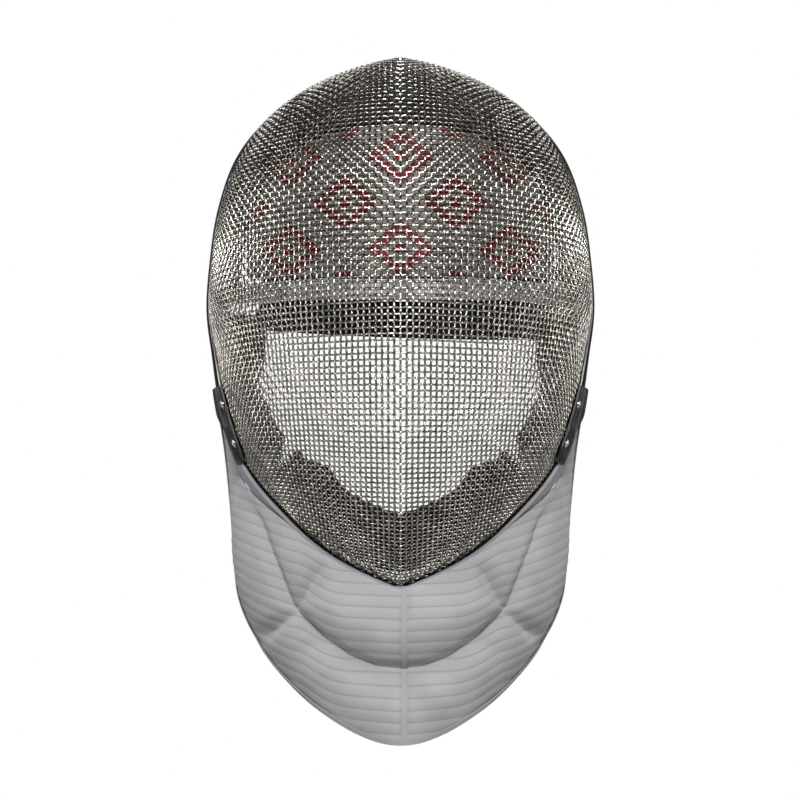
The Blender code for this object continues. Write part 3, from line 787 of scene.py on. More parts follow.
# the pads' own dark cover, darkened further as painted shade for the inside of the cage
SHADE_DARKENED_LINING = FeltFinish("dark_lining", (0.010, 0.009, 0.008), (0.018, 0.016, 0.015), sheen=0.05)
FOREHEAD = FeltFinish(
    "grey_cover", (0.20, 0.185, 0.18), (0.27, 0.25, 0.245), motif=Motif.LOZENGES
)
BAND = FeltFinish("light_binding", (0.46, 0.45, 0.45), (0.56, 0.55, 0.55))


# --- Woven cage ----------------------------------------------------------------------------------
def wall_skin(columns: int = 180, rows: int = 64, overrun: float = 1.06) -> BVHTree:
    """Builds a search tree of the wall's middle surface, which runs on past the rim.

    Args:
        columns: Faces round the bowl.
        rows: Faces from the pole to the end.
        overrun: Where it ends, as a share of the way from the pole to the rim.

    Returns:
        The tree, in millimetres.
    """

    def place(u: float, v: float) -> Vector:
        angle = wrapped(360.0 * u)
        share = v * overrun
        if share <= 1.0:
            return cage_point(angle, share) / MM
        return edge_point(angle, (share - 1.0) * wall_length(angle), 0.0) / MM

    mesh = grid(columns, rows, place)
    bmesh.ops.remove_doubles(mesh, verts=mesh.verts, dist=1e-4)
    bmesh.ops.recalc_face_normals(mesh, faces=mesh.faces)
    tree = BVHTree.FromBMesh(mesh)
    mesh.free()
    return tree


@dataclass
class WovenCage:
    """Plain weave of round wire, laid over the bowl as a net of equal steps."""

    pitch: float = 3.1
    wire: float = 1.13
    crimp: float = 0.5  # how far a wire's middle rises or dips where it crosses another
    seed_height: float = -93.0  # where a level wire crosses the crease unbent
    edge_cover: float = 1.4  # the wires stop this far inside the mesh edge
    nodes: dict[tuple[int, int], Vector] = field(default_factory=dict)

    def inside(self, point: Vector) -> float:
        """Returns how far in front of its edge a point of the wall lies."""
        angle = math.degrees(math.atan2(abs(point.x), point.z - POLE.z))
        rim = POLE.y + meridian(round(angle, 1))[2][-1]
        return rim - self.edge_cover - point.y

    def next_node(self, skin: BVHTree, a: Vector, b: Vector, corner: Vector) -> Vector:
        """Finds the crossing that lies one pitch from two neighbours.

        Args:
            skin: The wall's surface.
            a: The neighbour along one wire.
            b: The neighbour along the other.
            corner: The crossing that both came from.

        Returns:
            The new crossing.
        """
        point = a + b - corner
        for _ in range(5):
            on_skin, normal, _, away = skin.find_nearest(point)
            if away > self.pitch:
                return point
            from_a = on_skin - a
            from_b = on_skin - b
            pulls = Matrix((from_a.normalized(), from_b.normalized(), normal))
            if abs(pulls.determinant()) < 0.1:
                return on_skin
            wanted = (self.pitch - from_a.length, self.pitch - from_b.length, 0.0)
            point = on_skin + pulls.inverted() @ Vector(wanted)
        return point

    def march_line(self, skin: BVHTree, start: Vector, step: Vector, level: bool) -> list[Vector]:
        """Walks over the wall in steps of one pitch.

        Args:
            skin: The wall's surface.
            start: The first crossing.
            step: The way to set out.
            level: Whether the walk may leave the plane of its first x.

        Returns:
            The crossings.
        """
        line = [start]
        heading = step.normalized()
        while self.inside(line[-1]) > -3 * self.pitch and len(line) < 90:
            point = line[-1] + heading * self.pitch
            for _ in range(6):
                point = skin.find_nearest(point)[0]
                if not level:
                    point.x = start.x
                point = line[-1] + (point - line[-1]).normalized() * self.pitch
            heading = (point - line[-1]).normalized()
            line.append(point)
        return line

    def lay_net(self) -> None:
        """Fills the net's crossings on the right half and mirrors them to the left."""
        skin = wall_skin()
        middle = skin.ray_cast(Vector((0, -300, self.seed_height)), Vector((0, 1, 0)))[0]
        upward = self.march_line(skin, middle, Vector((0, 0, 1)), False)
        downward = self.march_line(skin, middle, Vector((0, 0, -1)), False)
        across = self.march_line(skin, middle, Vector((1, 0.2, 0)), True)
        for i, point in enumerate(across):
            self.nodes[i, 0] = point
        for sign, column in ((1, upward), (-1, downward)):
            for j, point in enumerate(column):
                self.nodes[0, sign * j] = point
            for j in range(1, len(column)):
                for i in range(1, len(across)):
                    known = [(i - 1, sign * j), (i, sign * (j - 1)), (i - 1, sign * (j - 1))]
                    if not all(key in self.nodes for key in known):
                        break
                    a, b, corner = (self.nodes[key] for key in known)
                    if min(self.inside(a), self.inside(b)) < -4 * self.pitch:
                        break
                    self.nodes[i, sign * j] = self.next_node(skin, a, b, corner)
        for (i, j), point in list(self.nodes.items()):
            self.nodes[-i, j] = Vector((-point.x, point.y, point.z))

    def normal(self, i: int, j: int) -> Vector:
        """Returns the way out of the wall at a crossing, from its neighbours."""
        here = self.nodes[i, j]
        right = self.nodes.get((i + 1, j), here) - self.nodes.get((i - 1, j), here)
        up = self.nodes.get((i, j + 1), here) - self.nodes.get((i, j - 1), here)
        return right.cross(up).normalized()

    def wire_path(self, keys: Sequence[tuple[int, int]], lift: int) -> list[Vector]:
        """Traces one wire over and under the wires that it crosses.

        Args:
            keys: The crossings in order.
            lift: 1 for upright wires and -1 for level ones.

        Returns:
            Two points for each crossing, or none where the wire lies outside the cage.
        """
        path: list[Vector] = []
        last = None
        before = None
        for key in keys:
            here = self.nodes[key]
            room = self.inside(here)
            if room <= 0 and last is None:
                before = (here, room)
                continue
            over = lift * (1 if sum(key) % 2 == 0 else -1) * self.crimp
            crest = here + self.normal(*key) * over
            if last is None:
                if before:
                    path.append(before[0].lerp(here, -before[1] / (room - before[1])))
                path.append(crest)
            elif room <= 0:
                path.append(last[0].lerp(here, last[1] / (last[1] - room)))
                break
            else:
                path.append(last[0].lerp(here, 0.5))
                path.append(crest)
            last = (here, room)
        return path if len(path) > 3 else []

    def wires(
        self, name: str, paths: Iterable[list[Vector]], finish: bpy.types.Material
    ) -> bpy.types.Object:
        """Sweeps round wire along each path.

        Args:
            name: The piece's name.
            paths: The middle lines of the wires.
            finish: The wire's material.

        Returns:
            The piece, as one mesh of closed tubes.
        """
        curve = bpy.data.curves.new(name + "_paths", "CURVE")
        curve.dimensions = "3D"
        curve.bevel_depth = self.wire / 2 * MM
        curve.bevel_resolution = 1
        curve.use_fill_caps = True
        for path in paths:
            if not path:
                continue
            spline = curve.splines.new("POLY")
            spline.points.add(len(path) - 1)
            spline.points.foreach_set("co", [k for p in path for k in (*(p * MM), 1.0)])
            spline.use_smooth = True
        holder = bpy.data.objects.new(name + "_paths", curve)
        bpy.context.scene.collection.objects.link(holder)
        data = bpy.data.meshes.new_from_object(
            holder.evaluated_get(bpy.context.evaluated_depsgraph_get())
        )
        data.name = name
        bpy.data.objects.remove(holder)
        bpy.data.curves.remove(curve)
        data.materials.clear()
        data.materials.append(finish)
        piece = bpy.data.objects.new(name, data)
        bpy.context.scene.collection.objects.link(piece)
        return piece

    def build(self) -> list[bpy.types.Object]:
        """Builds the upright and the level wires, each in two pieces.

        Returns:
            The four pieces.
        """
        self.lay_net()
        finish = WIRE.material()
        columns = sorted({i for i, _ in self.nodes})
        rows = sorted({j for _, j in self.nodes})
        upright = {
            i: self.wire_path(sorted(key for key in self.nodes if key[0] == i), 1)
            for i in columns
        }
        level = {
            j: self.wire_path(sorted(key for key in self.nodes if key[1] == j), -1)
            for j in rows
        }
        shares = {
            "cage_upright_wires_left": [upright[i] for i in columns if i < 0],
            "cage_upright_wires_right": [upright[i] for i in columns if i >= 0],
            "cage_level_wires_upper": [level[j] for j in rows if j >= 0],
            "cage_level_wires_lower": [level[j] for j in rows if j < 0],
        }
        nodes = ("cage_mesh",)
        pieces = []
        for name, paths in shares.items():
            pieces.append(dressed(self.wires(name, paths, finish), "woven_steel", *nodes))
            nodes = ()
        return pieces


# --- Rim, tabs and rivets ---------------------------------------------------------------------------
@dataclass
class RimSet:
    """The steel channel on the mesh edge, the rubber trim over it and the cloth binding."""

    wall: float = 2.0
    gap: float = 0.3
    channel_wall: float = 1.0
    channel_flange: float = 9.0
    trim_wall: float = 0.9
    trim_flange: float = 5.6
    trim_end: float = 114.0
    binding_end: float = 114.4
    lip_over: float = 0.9  # how far the binding is turned down over the channel's lip
    step: float = 1.5  # degrees from section to section
    edge_radius: float = 115.0  # of the rim, and the width of a strip, for their weave
    tape_width: float = 20.0

    @property
    def channel_out(self) -> float:
        """Returns how far out from the wall's middle the channel reaches."""
        return self.wall / 2 + self.gap + self.channel_wall

    @property
    def trim_out(self) -> float:
        """Returns how far out from the wall's middle the trim and binding reach."""
        return self.channel_out + self.gap + self.trim_wall

    @property
    def trim_back(self) -> float:
        """Returns how far behind the mesh edge the trim and binding reach."""
        return 2 * self.gap + self.channel_wall + self.trim_wall

    def strip(
        self,
        angles: tuple[float, float],
        outer: Sequence[tuple[float, float]],
        inner: Sequence[tuple[float, float]],
        ring: bool = False,
    ) -> bmesh.types.BMesh:
        """Bends a U section round the rim.

        Args:
            angles: The directions of its two ends.
            outer: Its outer corners as (back, out), from the outer flange to the inner.
            inner: Its inner corners in the same order.
            ring: Whether it closes on itself.

        Returns:
            The strip.
        """

        stretches = len(outer) - 1

        def place(u: float, v: float, w: float) -> Vector:
            corner = round(v * stretches)
            back, out = inner[corner] if w < 0.5 else outer[corner]
            return edge_point(blend(*angles, u), back, out)

        columns = round((angles[1] - angles[0]) / self.step)
        size = (math.radians(angles[1] - angles[0]) * self.edge_radius, self.tape_width)
        return slab(columns, stretches, place, ring=ring, size=size)

    def build(self) -> None:
        """Builds the channel, the trim and the binding."""

        def corners(front: float, back: float, out: float) -> list[tuple[float, float]]:
            return [(front, out), (back, out), (back, -out), (front, -out)]

        gap = self.gap
        channel = self.strip(
            (0.0, 360.0),
            corners(-self.channel_flange, gap + self.channel_wall, self.channel_out),
            corners(-self.channel_flange, gap, self.wall / 2 + gap),
            ring=True,
        )
        piece = finished("rim_channel_strip", channel, RIM.material())
        dressed(rounded(piece, 0.35), "rim_steel", "rim_channel")
        inside_back = 2 * gap + self.channel_wall
        trim = self.strip(
            (-self.trim_end, self.trim_end),
            corners(-self.trim_flange, self.trim_back, self.trim_out),
            corners(-self.trim_flange, inside_back, self.channel_out + gap),
        )
        piece = finished("edge_trim_rubber", trim, TRIM.material())
        dressed(rounded(piece, 0.42, 3), "black_trim", "edge_trim")
        front = -self.channel_flange
        lip = self.wall / 2 + gap
        inside_out = self.channel_out + gap
        outer = [
            (front - self.lip_over, lip), (front - self.lip_over, self.channel_out),
            (front - gap, self.trim_out), (self.trim_back, self.trim_out),
            (self.trim_back, -self.trim_out), (-self.trim_flange, -self.trim_out),
        ]  # fmt: skip
        inner = [
            (front - gap, lip), (front - gap, self.channel_out),
            (front, inside_out), (inside_back, inside_out),
            (inside_back, -inside_out), (-self.trim_flange, -inside_out),
        ]  # fmt: skip
        binding = self.strip((self.binding_end, 360.0 - self.binding_end), outer, inner)
        piece = finished("bib_binding_tape", binding, RIM_TAPE.material())
        dressed(rounded(piece, 0.4, 3), "binding_cloth", "bib_binding")


@dataclass
class SideTabs:
    """The black tabs that join the bib to the rim, each with two domed rivets."""

    rim: RimSet
    thickness: float = 1.3
    clearance: float = 0.35  # between its flat part and the mesh wall
    angles: tuple[float, float] = (113.2, 134.5)
    front: tuple[float, float] = (-18.0, -15.5)  # along its length and at its lower end
    front_tapers: tuple[float, float] = (0.8, 1.0)
    back: tuple[float, float] = (9.0, -8.0)  # at the top and where it is narrow
    back_tapers: tuple[float, float] = (0.30, 0.62)
    step: tuple[float, float] = (-11.0, -9.4)  # its underside rises over the rim here
    step_mitre: float = 0.7  # its upper side rises this much sooner
    rows_a_stretch: int = 5
    rivet_angles: tuple[tuple[str, float], ...] = (("upper", 118.5), ("lower", 129.5))
    rivet_radius: float = 2.5
    rivet_height: float = 1.4
    rivet_back: float = -15.2
    rivet_standoff: float = 0.1
    rivet_profile: tuple[tuple[float, float], ...] = (  # shares of its radius and height
        (0.0, 1.0), (0.35, 0.96), (0.65, 0.80), (0.84, 0.52), (0.90, 0.28),
        (1.0, 0.20), (1.0, 0.04), (0.94, 0.0), (0.0, 0.0),
    )  # fmt: skip

    @property
    def seat(self) -> float:
        """Returns how far out from the wall's middle a tab's flat part lies."""
        return self.rim.wall / 2 + self.clearance

    def section(self, u: float, v: float, w: float) -> tuple[float, float]:
        """Finds a place of a tab's section, which steps up over the rim.

        Args:
            u: The share of the tab's length.
            v: The share of its section, from front to rear.
            w: 0 on its underside, 1 on its face.

        Returns:
            How far back from the mesh edge and out from the wall the place lies.
        """
        front = blend(*self.front, eased(u, *self.front_tapers))
        rear = blend(*self.back, eased(u, *self.back_tapers))
        foot, head = (place - w * self.step_mitre for place in self.step)
        knots = (front, foot, head, rear)
        stretch = min(int(v * 3), 2)
        back = blend(knots[stretch], knots[stretch + 1], v * 3 - stretch)
        rise = eased(back, foot, head)
        out = blend(self.seat, self.rim.trim_out + self.rim.gap, rise)
        return back, out + w * self.thickness

    def tab(self, side: int) -> bmesh.types.BMesh:
        """Builds the tab on one side, wide above and narrow below."""

        def place(u: float, v: float, w: float) -> Vector:
            return edge_point(side * blend(*self.angles, u), *self.section(u, v, w))

        return slab(40, 3 * self.rows_a_stretch, place, size=(50.0, 26.0))

    def rivet(self, angle: float) -> bmesh.types.BMesh:
        """Turns a domed head with a thin flange and sets it on its tab.

        Args:
            angle: Its direction round the bowl.

        Returns:
            The rivet.
        """
        mesh = bmesh.new()
        points = [
            mesh.verts.new((r * self.rivet_radius, 0.0, h * self.rivet_height))
            for r, h in self.rivet_profile
        ]
        edges = [mesh.edges.new(pair) for pair in zip(points, points[1:])]
        bmesh.ops.spin(
            mesh, geom=points + edges, cent=(0, 0, 0), axis=(0, 0, 1),
            angle=math.tau, steps=24, use_merge=True,
        )  # fmt: skip
        bmesh.ops.remove_doubles(mesh, verts=mesh.verts, dist=1e-4)
        bmesh.ops.recalc_face_normals(mesh, faces=mesh.faces)
        normal = bowl_normal(angle, 1 + self.rivet_back / wall_length(angle))
        turned = normal.to_track_quat("Z", "Y").to_matrix()
        bmesh.ops.rotate(mesh, verts=mesh.verts, cent=(0, 0, 0), matrix=turned)
        lift = self.seat + self.thickness + self.rim.gap + self.rivet_standoff
        place = edge_point(angle, self.rivet_back, lift)
        bmesh.ops.translate(mesh, verts=mesh.verts, vec=place)
        bmesh.ops.scale(mesh, verts=mesh.verts, vec=(MM, MM, MM))
        return mesh

    def build(self) -> None:
        """Builds both tabs and their rivets."""
        cover = TAB.material()
        steel = RIVET.material()
        for side, name in ((-1, "left"), (1, "right")):
            piece = finished(f"side_tab_{name}_cover", self.tab(side), cover)
            dressed(rounded(piece, 0.3), "black_trim", f"side_tab_{name}")
            for level, angle in self.rivet_angles:
                head = finished(f"rivet_{name}_{level}", self.rivet(side * angle), steel)
                dressed(head, "rivet_steel", f"tab_rivet_{name}_{level}")


# --- Bib ------------------------------------------------------------------------------------------------
@dataclass(frozen=True)
class BibStrand:
    """Where one strand of the bib ends and how far it bellies."""

    angle: float
    end: tuple[float, float, float]
    belly: float


@dataclass(frozen=True)
class Fold:
    """A fold pressed into the bib: both ends (x, z), how deep at each, and its reach."""

    start: tuple[float, float]
    end: tuple[float, float]
    deep: tuple[float, float]
    reach: float
    crease: float = 2.0  # how much deeper the cloth is nipped along the fold's own line
    crease_reach: float = 6.0

    def press(self, x: float, z: float) -> float:
        """Returns how far the fold presses the bib in at this place of its front view."""
        run = (self.end[0] - self.start[0], self.end[1] - self.start[1])
        off = (x - self.start[0], z - self.start[1])
        share = (off[0] * run[0] + off[1] * run[1]) / (run[0] ** 2 + run[1] ** 2)
        share = min(1.0, max(0.0, share))
        away = math.hypot(off[0] - share * run[0], off[1] - share * run[1])
        nip = self.crease * max(0.0, 1 - away / self.crease_reach)
        return blend(*self.deep, share) * max(0.0, 1 - away / self.reach) ** 2 + nip


@dataclass
class QuiltedBib:
    """The quilted throat bib, its edge tape and its centre seam tape."""

    thickness: float = 2.4
    first_angle: float = 112.0
    seat_side: tuple[float, float] = (3.5, 1.6)
    seat_chin: tuple[float, float] = (-13.0, 4.6)
    rise_angles: tuple[float, float] = (134.0, 139.5)
    slide_angles: tuple[float, float] = (135.5, 157.0)
    axis_y: float = 50.0
    swell: float = 3.0
    folds_grow: float = 0.15  # share of a strand, from its sewn top, over which folds grow
    columns: int = 240
    rows: int = 120
    quilt_pitch: float = 5.8
    quilt_height: float = 0.45
    line_slope: float = 0.03  # how the sewn lines rise from the middle
    line_lift: float = 9.5  # how far they climb over the cheek
    line_climb: tuple[float, float] = (22.0, 57.0)  # where that climb begins and ends
    side_slope: float = 0.30  # how they rise past it
    puff_level: float = 0.6  # the height of a puff that stays on the middle surface
    cloth_width: float = 470.0  # along the middle of the bib, for its weave
    tape_wall: float = 0.6
    tape_flange: float = 2.0
    gap: float = 0.3
    seam_x: float = 2.0
    seam_width: float = 3.2
    seam_thickness: float = 0.4
    seam_gap: float = 0.05
    seam_end: float = 0.974  # share of the middle strand, just above the edge tape
    strands: tuple[BibStrand, ...] = (
        BibStrand(112, (98.0, 31.0, -169.0), 0.0),
        BibStrand(120, (94.6, 37.0, -195.0), 0.0),
        BibStrand(127, (91.8, 41.0, -226.0), 1.0),
        BibStrand(135, (90.0, 45.0, -257.0), 4.0),
        BibStrand(142, (86.8, 45.0, -277.5), 8.0),
        BibStrand(150, (73.6, 27.0, -300.0), 14.0),
        BibStrand(157, (59.4, 10.0, -314.5), 15.0),
        BibStrand(165, (41.2, -10.0, -327.5), 12.0),
        BibStrand(172, (20.5, -29.0, -337.2), 8.0),
        BibStrand(180, (0.0, -40.0, -341.0), 5.0),
    )
    folds: tuple[Fold, ...] = (
        Fold((0, -304.5), (15, -303.5), (14.0, 13.0), 24),
        Fold((15, -303.5), (29, -299), (13.0, 12.0), 24),
        Fold((29, -299), (44, -290), (12.0, 10.0), 22),
        Fold((44, -290), (59, -276), (10.0, 7.0), 18),
        Fold((80, -208), (73, -240), (1.5, 3.5), 12),
        Fold((73, -240), (59, -276), (3.5, 7.0), 14),
        Fold((42, -252), (59, -276), (2.0, 7.0), 13),
        Fold((59, -276), (71, -289), (7.0, 3.0), 12),
    )

    def read(
        self, turn: float, value: Callable[[BibStrand], float], mirror: float = 1.0
    ) -> float:
        """Reads one value of the strands, run on across the middle of the bib.

        Args:
            turn: The direction.
            value: Takes the value from a strand.
            mirror: -1 for a value that changes sign across the middle.

        Returns:
            The value at the direction.
        """
        angles = [strand.angle for strand in self.strands]
        values = [value(strand) for strand in self.strands]
        angles.append(2 * angles[-1] - angles[-2])
        values.append(mirror * values[-2])
        return through(angles, values, turn)

    def outward(self, point: Vector) -> Vector:
        """Returns the level way out from the upright line that the bib wraps round."""
        return Vector((point.x, point.y - self.axis_y, 0)).normalized()

    @lru_cache(maxsize=None)
    def strand(self, turn: float) -> tuple[Vector, Vector, float]:
        """Finds one strand of the right half.

        Args:
            turn: Its direction.

        Returns:
            Its top, its end and its belly.
        """
        back = blend(self.seat_side[0], self.seat_chin[0], eased(turn, *self.slide_angles))
        out = blend(self.seat_side[1], self.seat_chin[1], eased(turn, *self.rise_angles))
        top = edge_point(turn, back, out)
        end = Vector(
            [
                self.read(turn, lambda strand, k=k: strand.end[k], mirror)
                for k, mirror in enumerate((-1.0, 1.0, 1.0))
            ]
        )
        return top, end, self.read(turn, lambda strand: strand.belly)

    def point(self, angle: float, share: float) -> Vector:
        """Finds a point of the bib's middle surface.

        Args:
            angle: Its direction, negative to the left.
            share: 0 at the rim, 1 at the free edge.

        Returns:
            The point, in millimetres.
        """
        top, end, belly = self.strand(round(abs(angle), 3))
        run = end - top
        swell = self.outward(top + run / 2) * belly * self.swell * share * (1 - share)
        point = top + run * share + swell
        press = max(fold.press(point.x, point.z) for fold in self.folds)
        press *= eased(share, 0.0, self.folds_grow)
        point -= self.outward(point) * press
        return Vector((math.copysign(1.0, angle) * point.x, point.y, point.z))

    def normal(self, angle: float, share: float) -> Vector:
        """Returns the way out of the bib's sheet."""
        turn = min(abs(angle), 179.4)
        along = self.point(turn, min(1.0, share + 0.01)) - self.point(turn, share - 0.02)
        around = self.point(turn + 0.5, share) - self.point(turn - 0.5, share)
        normal = along.cross(around).normalized()
        if normal.dot(self.outward(self.point(turn, share))) < 0:
            normal.negate()
        if abs(angle) > 179.4:
            normal.x = 0.0
            normal.normalize()
        return Vector((math.copysign(1.0, angle) * normal.x, normal.y, normal.z))

    def angle_at(self, across: float) -> float:
        """Returns the direction for a place across the bib, from left to right."""
        angle = 180.0 - (180.0 - self.first_angle) * abs(2 * across - 1)
        return math.copysign(angle, across - 0.5)

    def quilt_line(self, point: Vector) -> float:
        """Returns the height of the sewn line through a point, where it meets the middle."""
        x = abs(point.x)
        climb = self.line_lift * eased(x, *self.line_climb) ** 2
        past = max(0.0, x - self.line_climb[1])
        return point.z - (self.line_slope * x + climb + self.side_slope * past)

    def sheet(self, u: float, v: float) -> Vector:
        """Finds a point of the quilted cloth, puffed out between its sewn lines."""
        angle = self.angle_at(u)
        point = self.point(angle, v)
        turns = self.quilt_line(point) / self.quilt_pitch
        puff = (math.sin(math.pi * turns) ** 2 + 0.06) ** 0.4
        edge = eased(min(v, 1 - v), 0.0, 0.03)
        return point + self.normal(angle, v) * self.quilt_height * (puff - self.puff_level) * edge

    def build_cloth(self) -> None:
        """Builds the bib as one sheet with its thickness."""
        mesh = grid(self.columns, self.rows, self.sheet)
        layer = mesh.loops.layers.uv.active
        for face in mesh.faces:
            for loop in face.loops:
                across = loop[layer].uv.x / MM * self.cloth_width
                line = self.quilt_line(loop.vert.co / MM)
                loop[layer].uv = (across * MM, line * MM)
        bmesh.ops.reverse_faces(mesh, faces=mesh.faces)
        piece = finished("bib_quilt", mesh, QUILT.material(), sharp=180.0)
        wall = piece.modifiers.new("wall", "SOLIDIFY")
        wall.thickness = (self.thickness - self.quilt_height) * MM
        wall.offset = 0.0
        dressed(piece, "bib_cloth", "bib")

    def build_tapes(self) -> None:
        """Builds the tape round the free edge and the tape down the centre seam."""

        def edge(u: float, v: float, w: float) -> Vector:
            angle = self.angle_at(u)
            reach = (self.point(angle, 1.0) - self.point(angle, 0.0)).length
            corner = round(v * 3)
            skin = self.tape_wall if w > 0.5 else 0.0
            half = self.thickness / 2 + self.gap + skin
            beyond = self.gap + skin if corner in (1, 2) else -self.tape_flange
            share = 1.0 + min(beyond, 0.0) / reach
            onward = (self.point(angle, 1.0) - self.point(angle, 0.97)).normalized()
            out = half if corner < 2 else -half
            point = self.point(angle, share) + onward * max(beyond, 0.0)
            return point + self.normal(angle, share) * out

        finish = TAPE.material()
        mesh = slab(self.columns, 3, edge, size=(560.0, 10.0))
        piece = finished("bib_edge_binding", mesh, finish)
        dressed(rounded(piece, 0.28, 3), "binding_cloth", "bib_edge_tape")

        def seam(u: float, v: float, w: float) -> Vector:
            share = blend(0.0, self.seam_end, v)
            lift = self.thickness / 2 + self.seam_gap + w * self.seam_thickness
            point = self.point(180.0, share) + self.normal(180.0, share) * lift
            return point + Vector((self.seam_x + (u - 0.5) * self.seam_width, 0.0, 0.0))

        mesh = slab(4, 72, seam, size=(self.seam_width, 80.0))
        piece = finished("bib_seam_tape", mesh, SEAM_TAPE.material())
        dressed(rounded(piece, 0.25), "bib_cloth", "bib_centre_tape")

    def build(self) -> None:
        """Builds the cloth and its tapes."""
        self.build_cloth()
        self.build_tapes()

    __hash__ = object.__hash__


# --- Pads -------------------------------------------------------------------------------------------------
@dataclass
class Padding:
    """The pads on the inside of the cage: crown, sides, chin, forehead and its binding."""

    offset: float = 1.75
    rear: float = -9.6  # where the side and chin pads end, from the mesh edge
    crown_rear: float = -11.0
    crown_clearance: float = 1.5  # from the forehead pad's outline to the crown pad
    crown_band_angles: tuple[float, float] = (62.0, 82.0)  # it widens here to pass the band
    forehead_bottom: float = -106.2
    forehead_crest: float = -26.0
    forehead_half_width: float = 80.0
    forehead_power: float = 2.8
    forehead_end_height: float = 0.16  # share of its height that is left at its ends
    band_half_width: float = 84.0
    band_heights: tuple[float, float] = (-116.6, -106.5)
    voxel: float = 2.6
    pressure: float = 4.0
    swell_cap: float = 2.5
    shrink: float = 0.8  # each pad starts this much smaller all round, and swells back
    full_from: float = 0.7
    seam_half_width: float = 3.0
    seam_depth: float = 1.6
    inner_skin: float = 2.0  # only what lies this much deeper than the offset is seamed
    window: tuple[tuple[float, float], ...] = (
        (91, 70.0), (108, 72.0), (122, 83.5), (136, 90.0),
        (146, 93.0), (155, 90.5), (164, 99.0), (180, 106.5),
    )  # fmt: skip
    skin: BVHTree = field(default_factory=wall_skin)

    def window_share(self, angle: float) -> float:
        """Returns where the window's edge lies, as a share from the pole to the rim."""
        turn = 180.0 - abs(180.0 - abs(angle))
        angles = [row[0] for row in self.window]
        radius = through(angles, [row[1] for row in self.window], turn)
        return share_at_radius(turn, radius)

    def forehead_top(self, x: float) -> float:
        """Returns the height of the forehead pad's arched outline at a place across it."""
        arch = max(0.0, 1 - abs(x / self.forehead_half_width) ** self.forehead_power) ** 0.5
        share = blend(self.forehead_end_height, 1.0, arch)
        return blend(self.forehead_bottom, self.forehead_crest, share)

    def forehead_radius(self, angle: float) -> float:
        """Returns how far from the bowl's axis the forehead pad reaches in a direction."""
        turn = math.radians(abs(angle))

        def inside(radius: float) -> bool:
            x = radius * math.sin(turn)
            z = POLE.z + radius * math.cos(turn)
            return x < self.forehead_half_width and z < self.forehead_top(x)

        return farthest(inside, self.forehead_half_width + self.forehead_crest - POLE.z)

    def crown_share(self, angle: float) -> float:
        """Returns where the crown pad's front edge lies, just outside the forehead pad."""
        past_band = self.band_half_width - self.forehead_half_width
        past_band *= eased(abs(angle), *self.crown_band_angles)
        radius = self.forehead_radius(angle) + self.crown_clearance + past_band
        return share_at_radius(angle, radius)

    def crown_thickness(self, angle: float, v: float) -> float:
        """Returns the crown pad's thickness, with a roll along its rear."""
        side = eased(abs(angle), 25, 75)
        return blend(blend(8.8, 4.0, side), blend(24.0, 10.0, side), eased(v, 0.8, 1.0))

    def lining(
        self,
        angles: tuple[float, float],
        start: Callable[[float], float],
        thickness: Callable[[float, float], float],
        faces: tuple[int, int],
        rear: float,
    ) -> bmesh.types.BMesh:
        """Lays padding along the bowl from its front edge to just before the rim.

        Args:
            angles: The directions of its two ends.
            start: Its front edge at each direction.
            thickness: Its thickness at each direction and share of its run.
            faces: Faces across and along.
            rear: Where it ends, from the mesh edge.

        Returns:
            The pad's plain form.
        """

        def place(u: float, v: float, w: float) -> Vector:
            angle = wrapped(blend(*angles, u))
            share = blend(start(angle), 1 + rear / wall_length(angle), v)
            depth = self.offset + w * thickness(angle, v)
            return bowl_point(angle, share) - bowl_normal(angle, share) * depth

        return slab(*faces, place)

    def swollen(self, piece: bpy.types.Object) -> None:
        """Turns a pad's plain form into a filled cover.

        Args:
            piece: The pad, whose mesh is remade.
        """
        remesh = piece.modifiers.new("even", "REMESH")
        remesh.mode = "VOXEL"
        remesh.voxel_size = self.voxel * MM
        remesh.use_smooth_shade = True
        self.apply(piece)
        start = [vertex.co.copy() for vertex in piece.data.vertices]
        cloth = piece.modifiers.new("fill", "CLOTH")
        cloth.settings.use_pressure = True
        cloth.settings.uniform_pressure_force = self.pressure
        cloth.settings.effector_weights.gravity = 0.0
        cloth.point_cache.frame_start = 1
        cloth.point_cache.frame_end = 20
        for frame in range(1, 21):
            bpy.context.scene.frame_set(frame)
        self.apply(piece)
        bpy.context.scene.frame_set(1)
        for vertex, home in zip(piece.data.vertices, start):
            step = vertex.co - home
            if step.length > self.swell_cap * MM:
                step *= self.swell_cap * MM / step.length
            vertex.co = self.pressed(home + step)
        smooth = piece.modifiers.new("even_out", "SUBSURF")
        smooth.levels = 1
        smooth.render_levels = 1
        self.apply(piece)
        piece.data.shade_smooth()

    def pressed(self, place: Vector) -> Vector:
        """Keeps a point at least the pads' offset inside the mesh wall."""
        point = place / MM
        nearest, normal, _, _ = self.skin.find_nearest(point)
        if normal.dot(nearest - POLE - Vector((0, 60, 0))) < 0:
            normal = -normal
        depth = (nearest - point).dot(normal)
        if depth < self.offset:
            point -= normal * (self.offset - depth)
        return point * MM

    def apply(self, piece: bpy.types.Object) -> None:
        """Replaces a piece's mesh with what its modifiers make of it."""
        graph = bpy.context.evaluated_depsgraph_get()
        old = piece.data
        new = bpy.data.meshes.new_from_object(piece.evaluated_get(graph))
        new.name = old.name
        piece.modifiers.clear()
        piece.data = new
        bpy.data.meshes.remove(old)

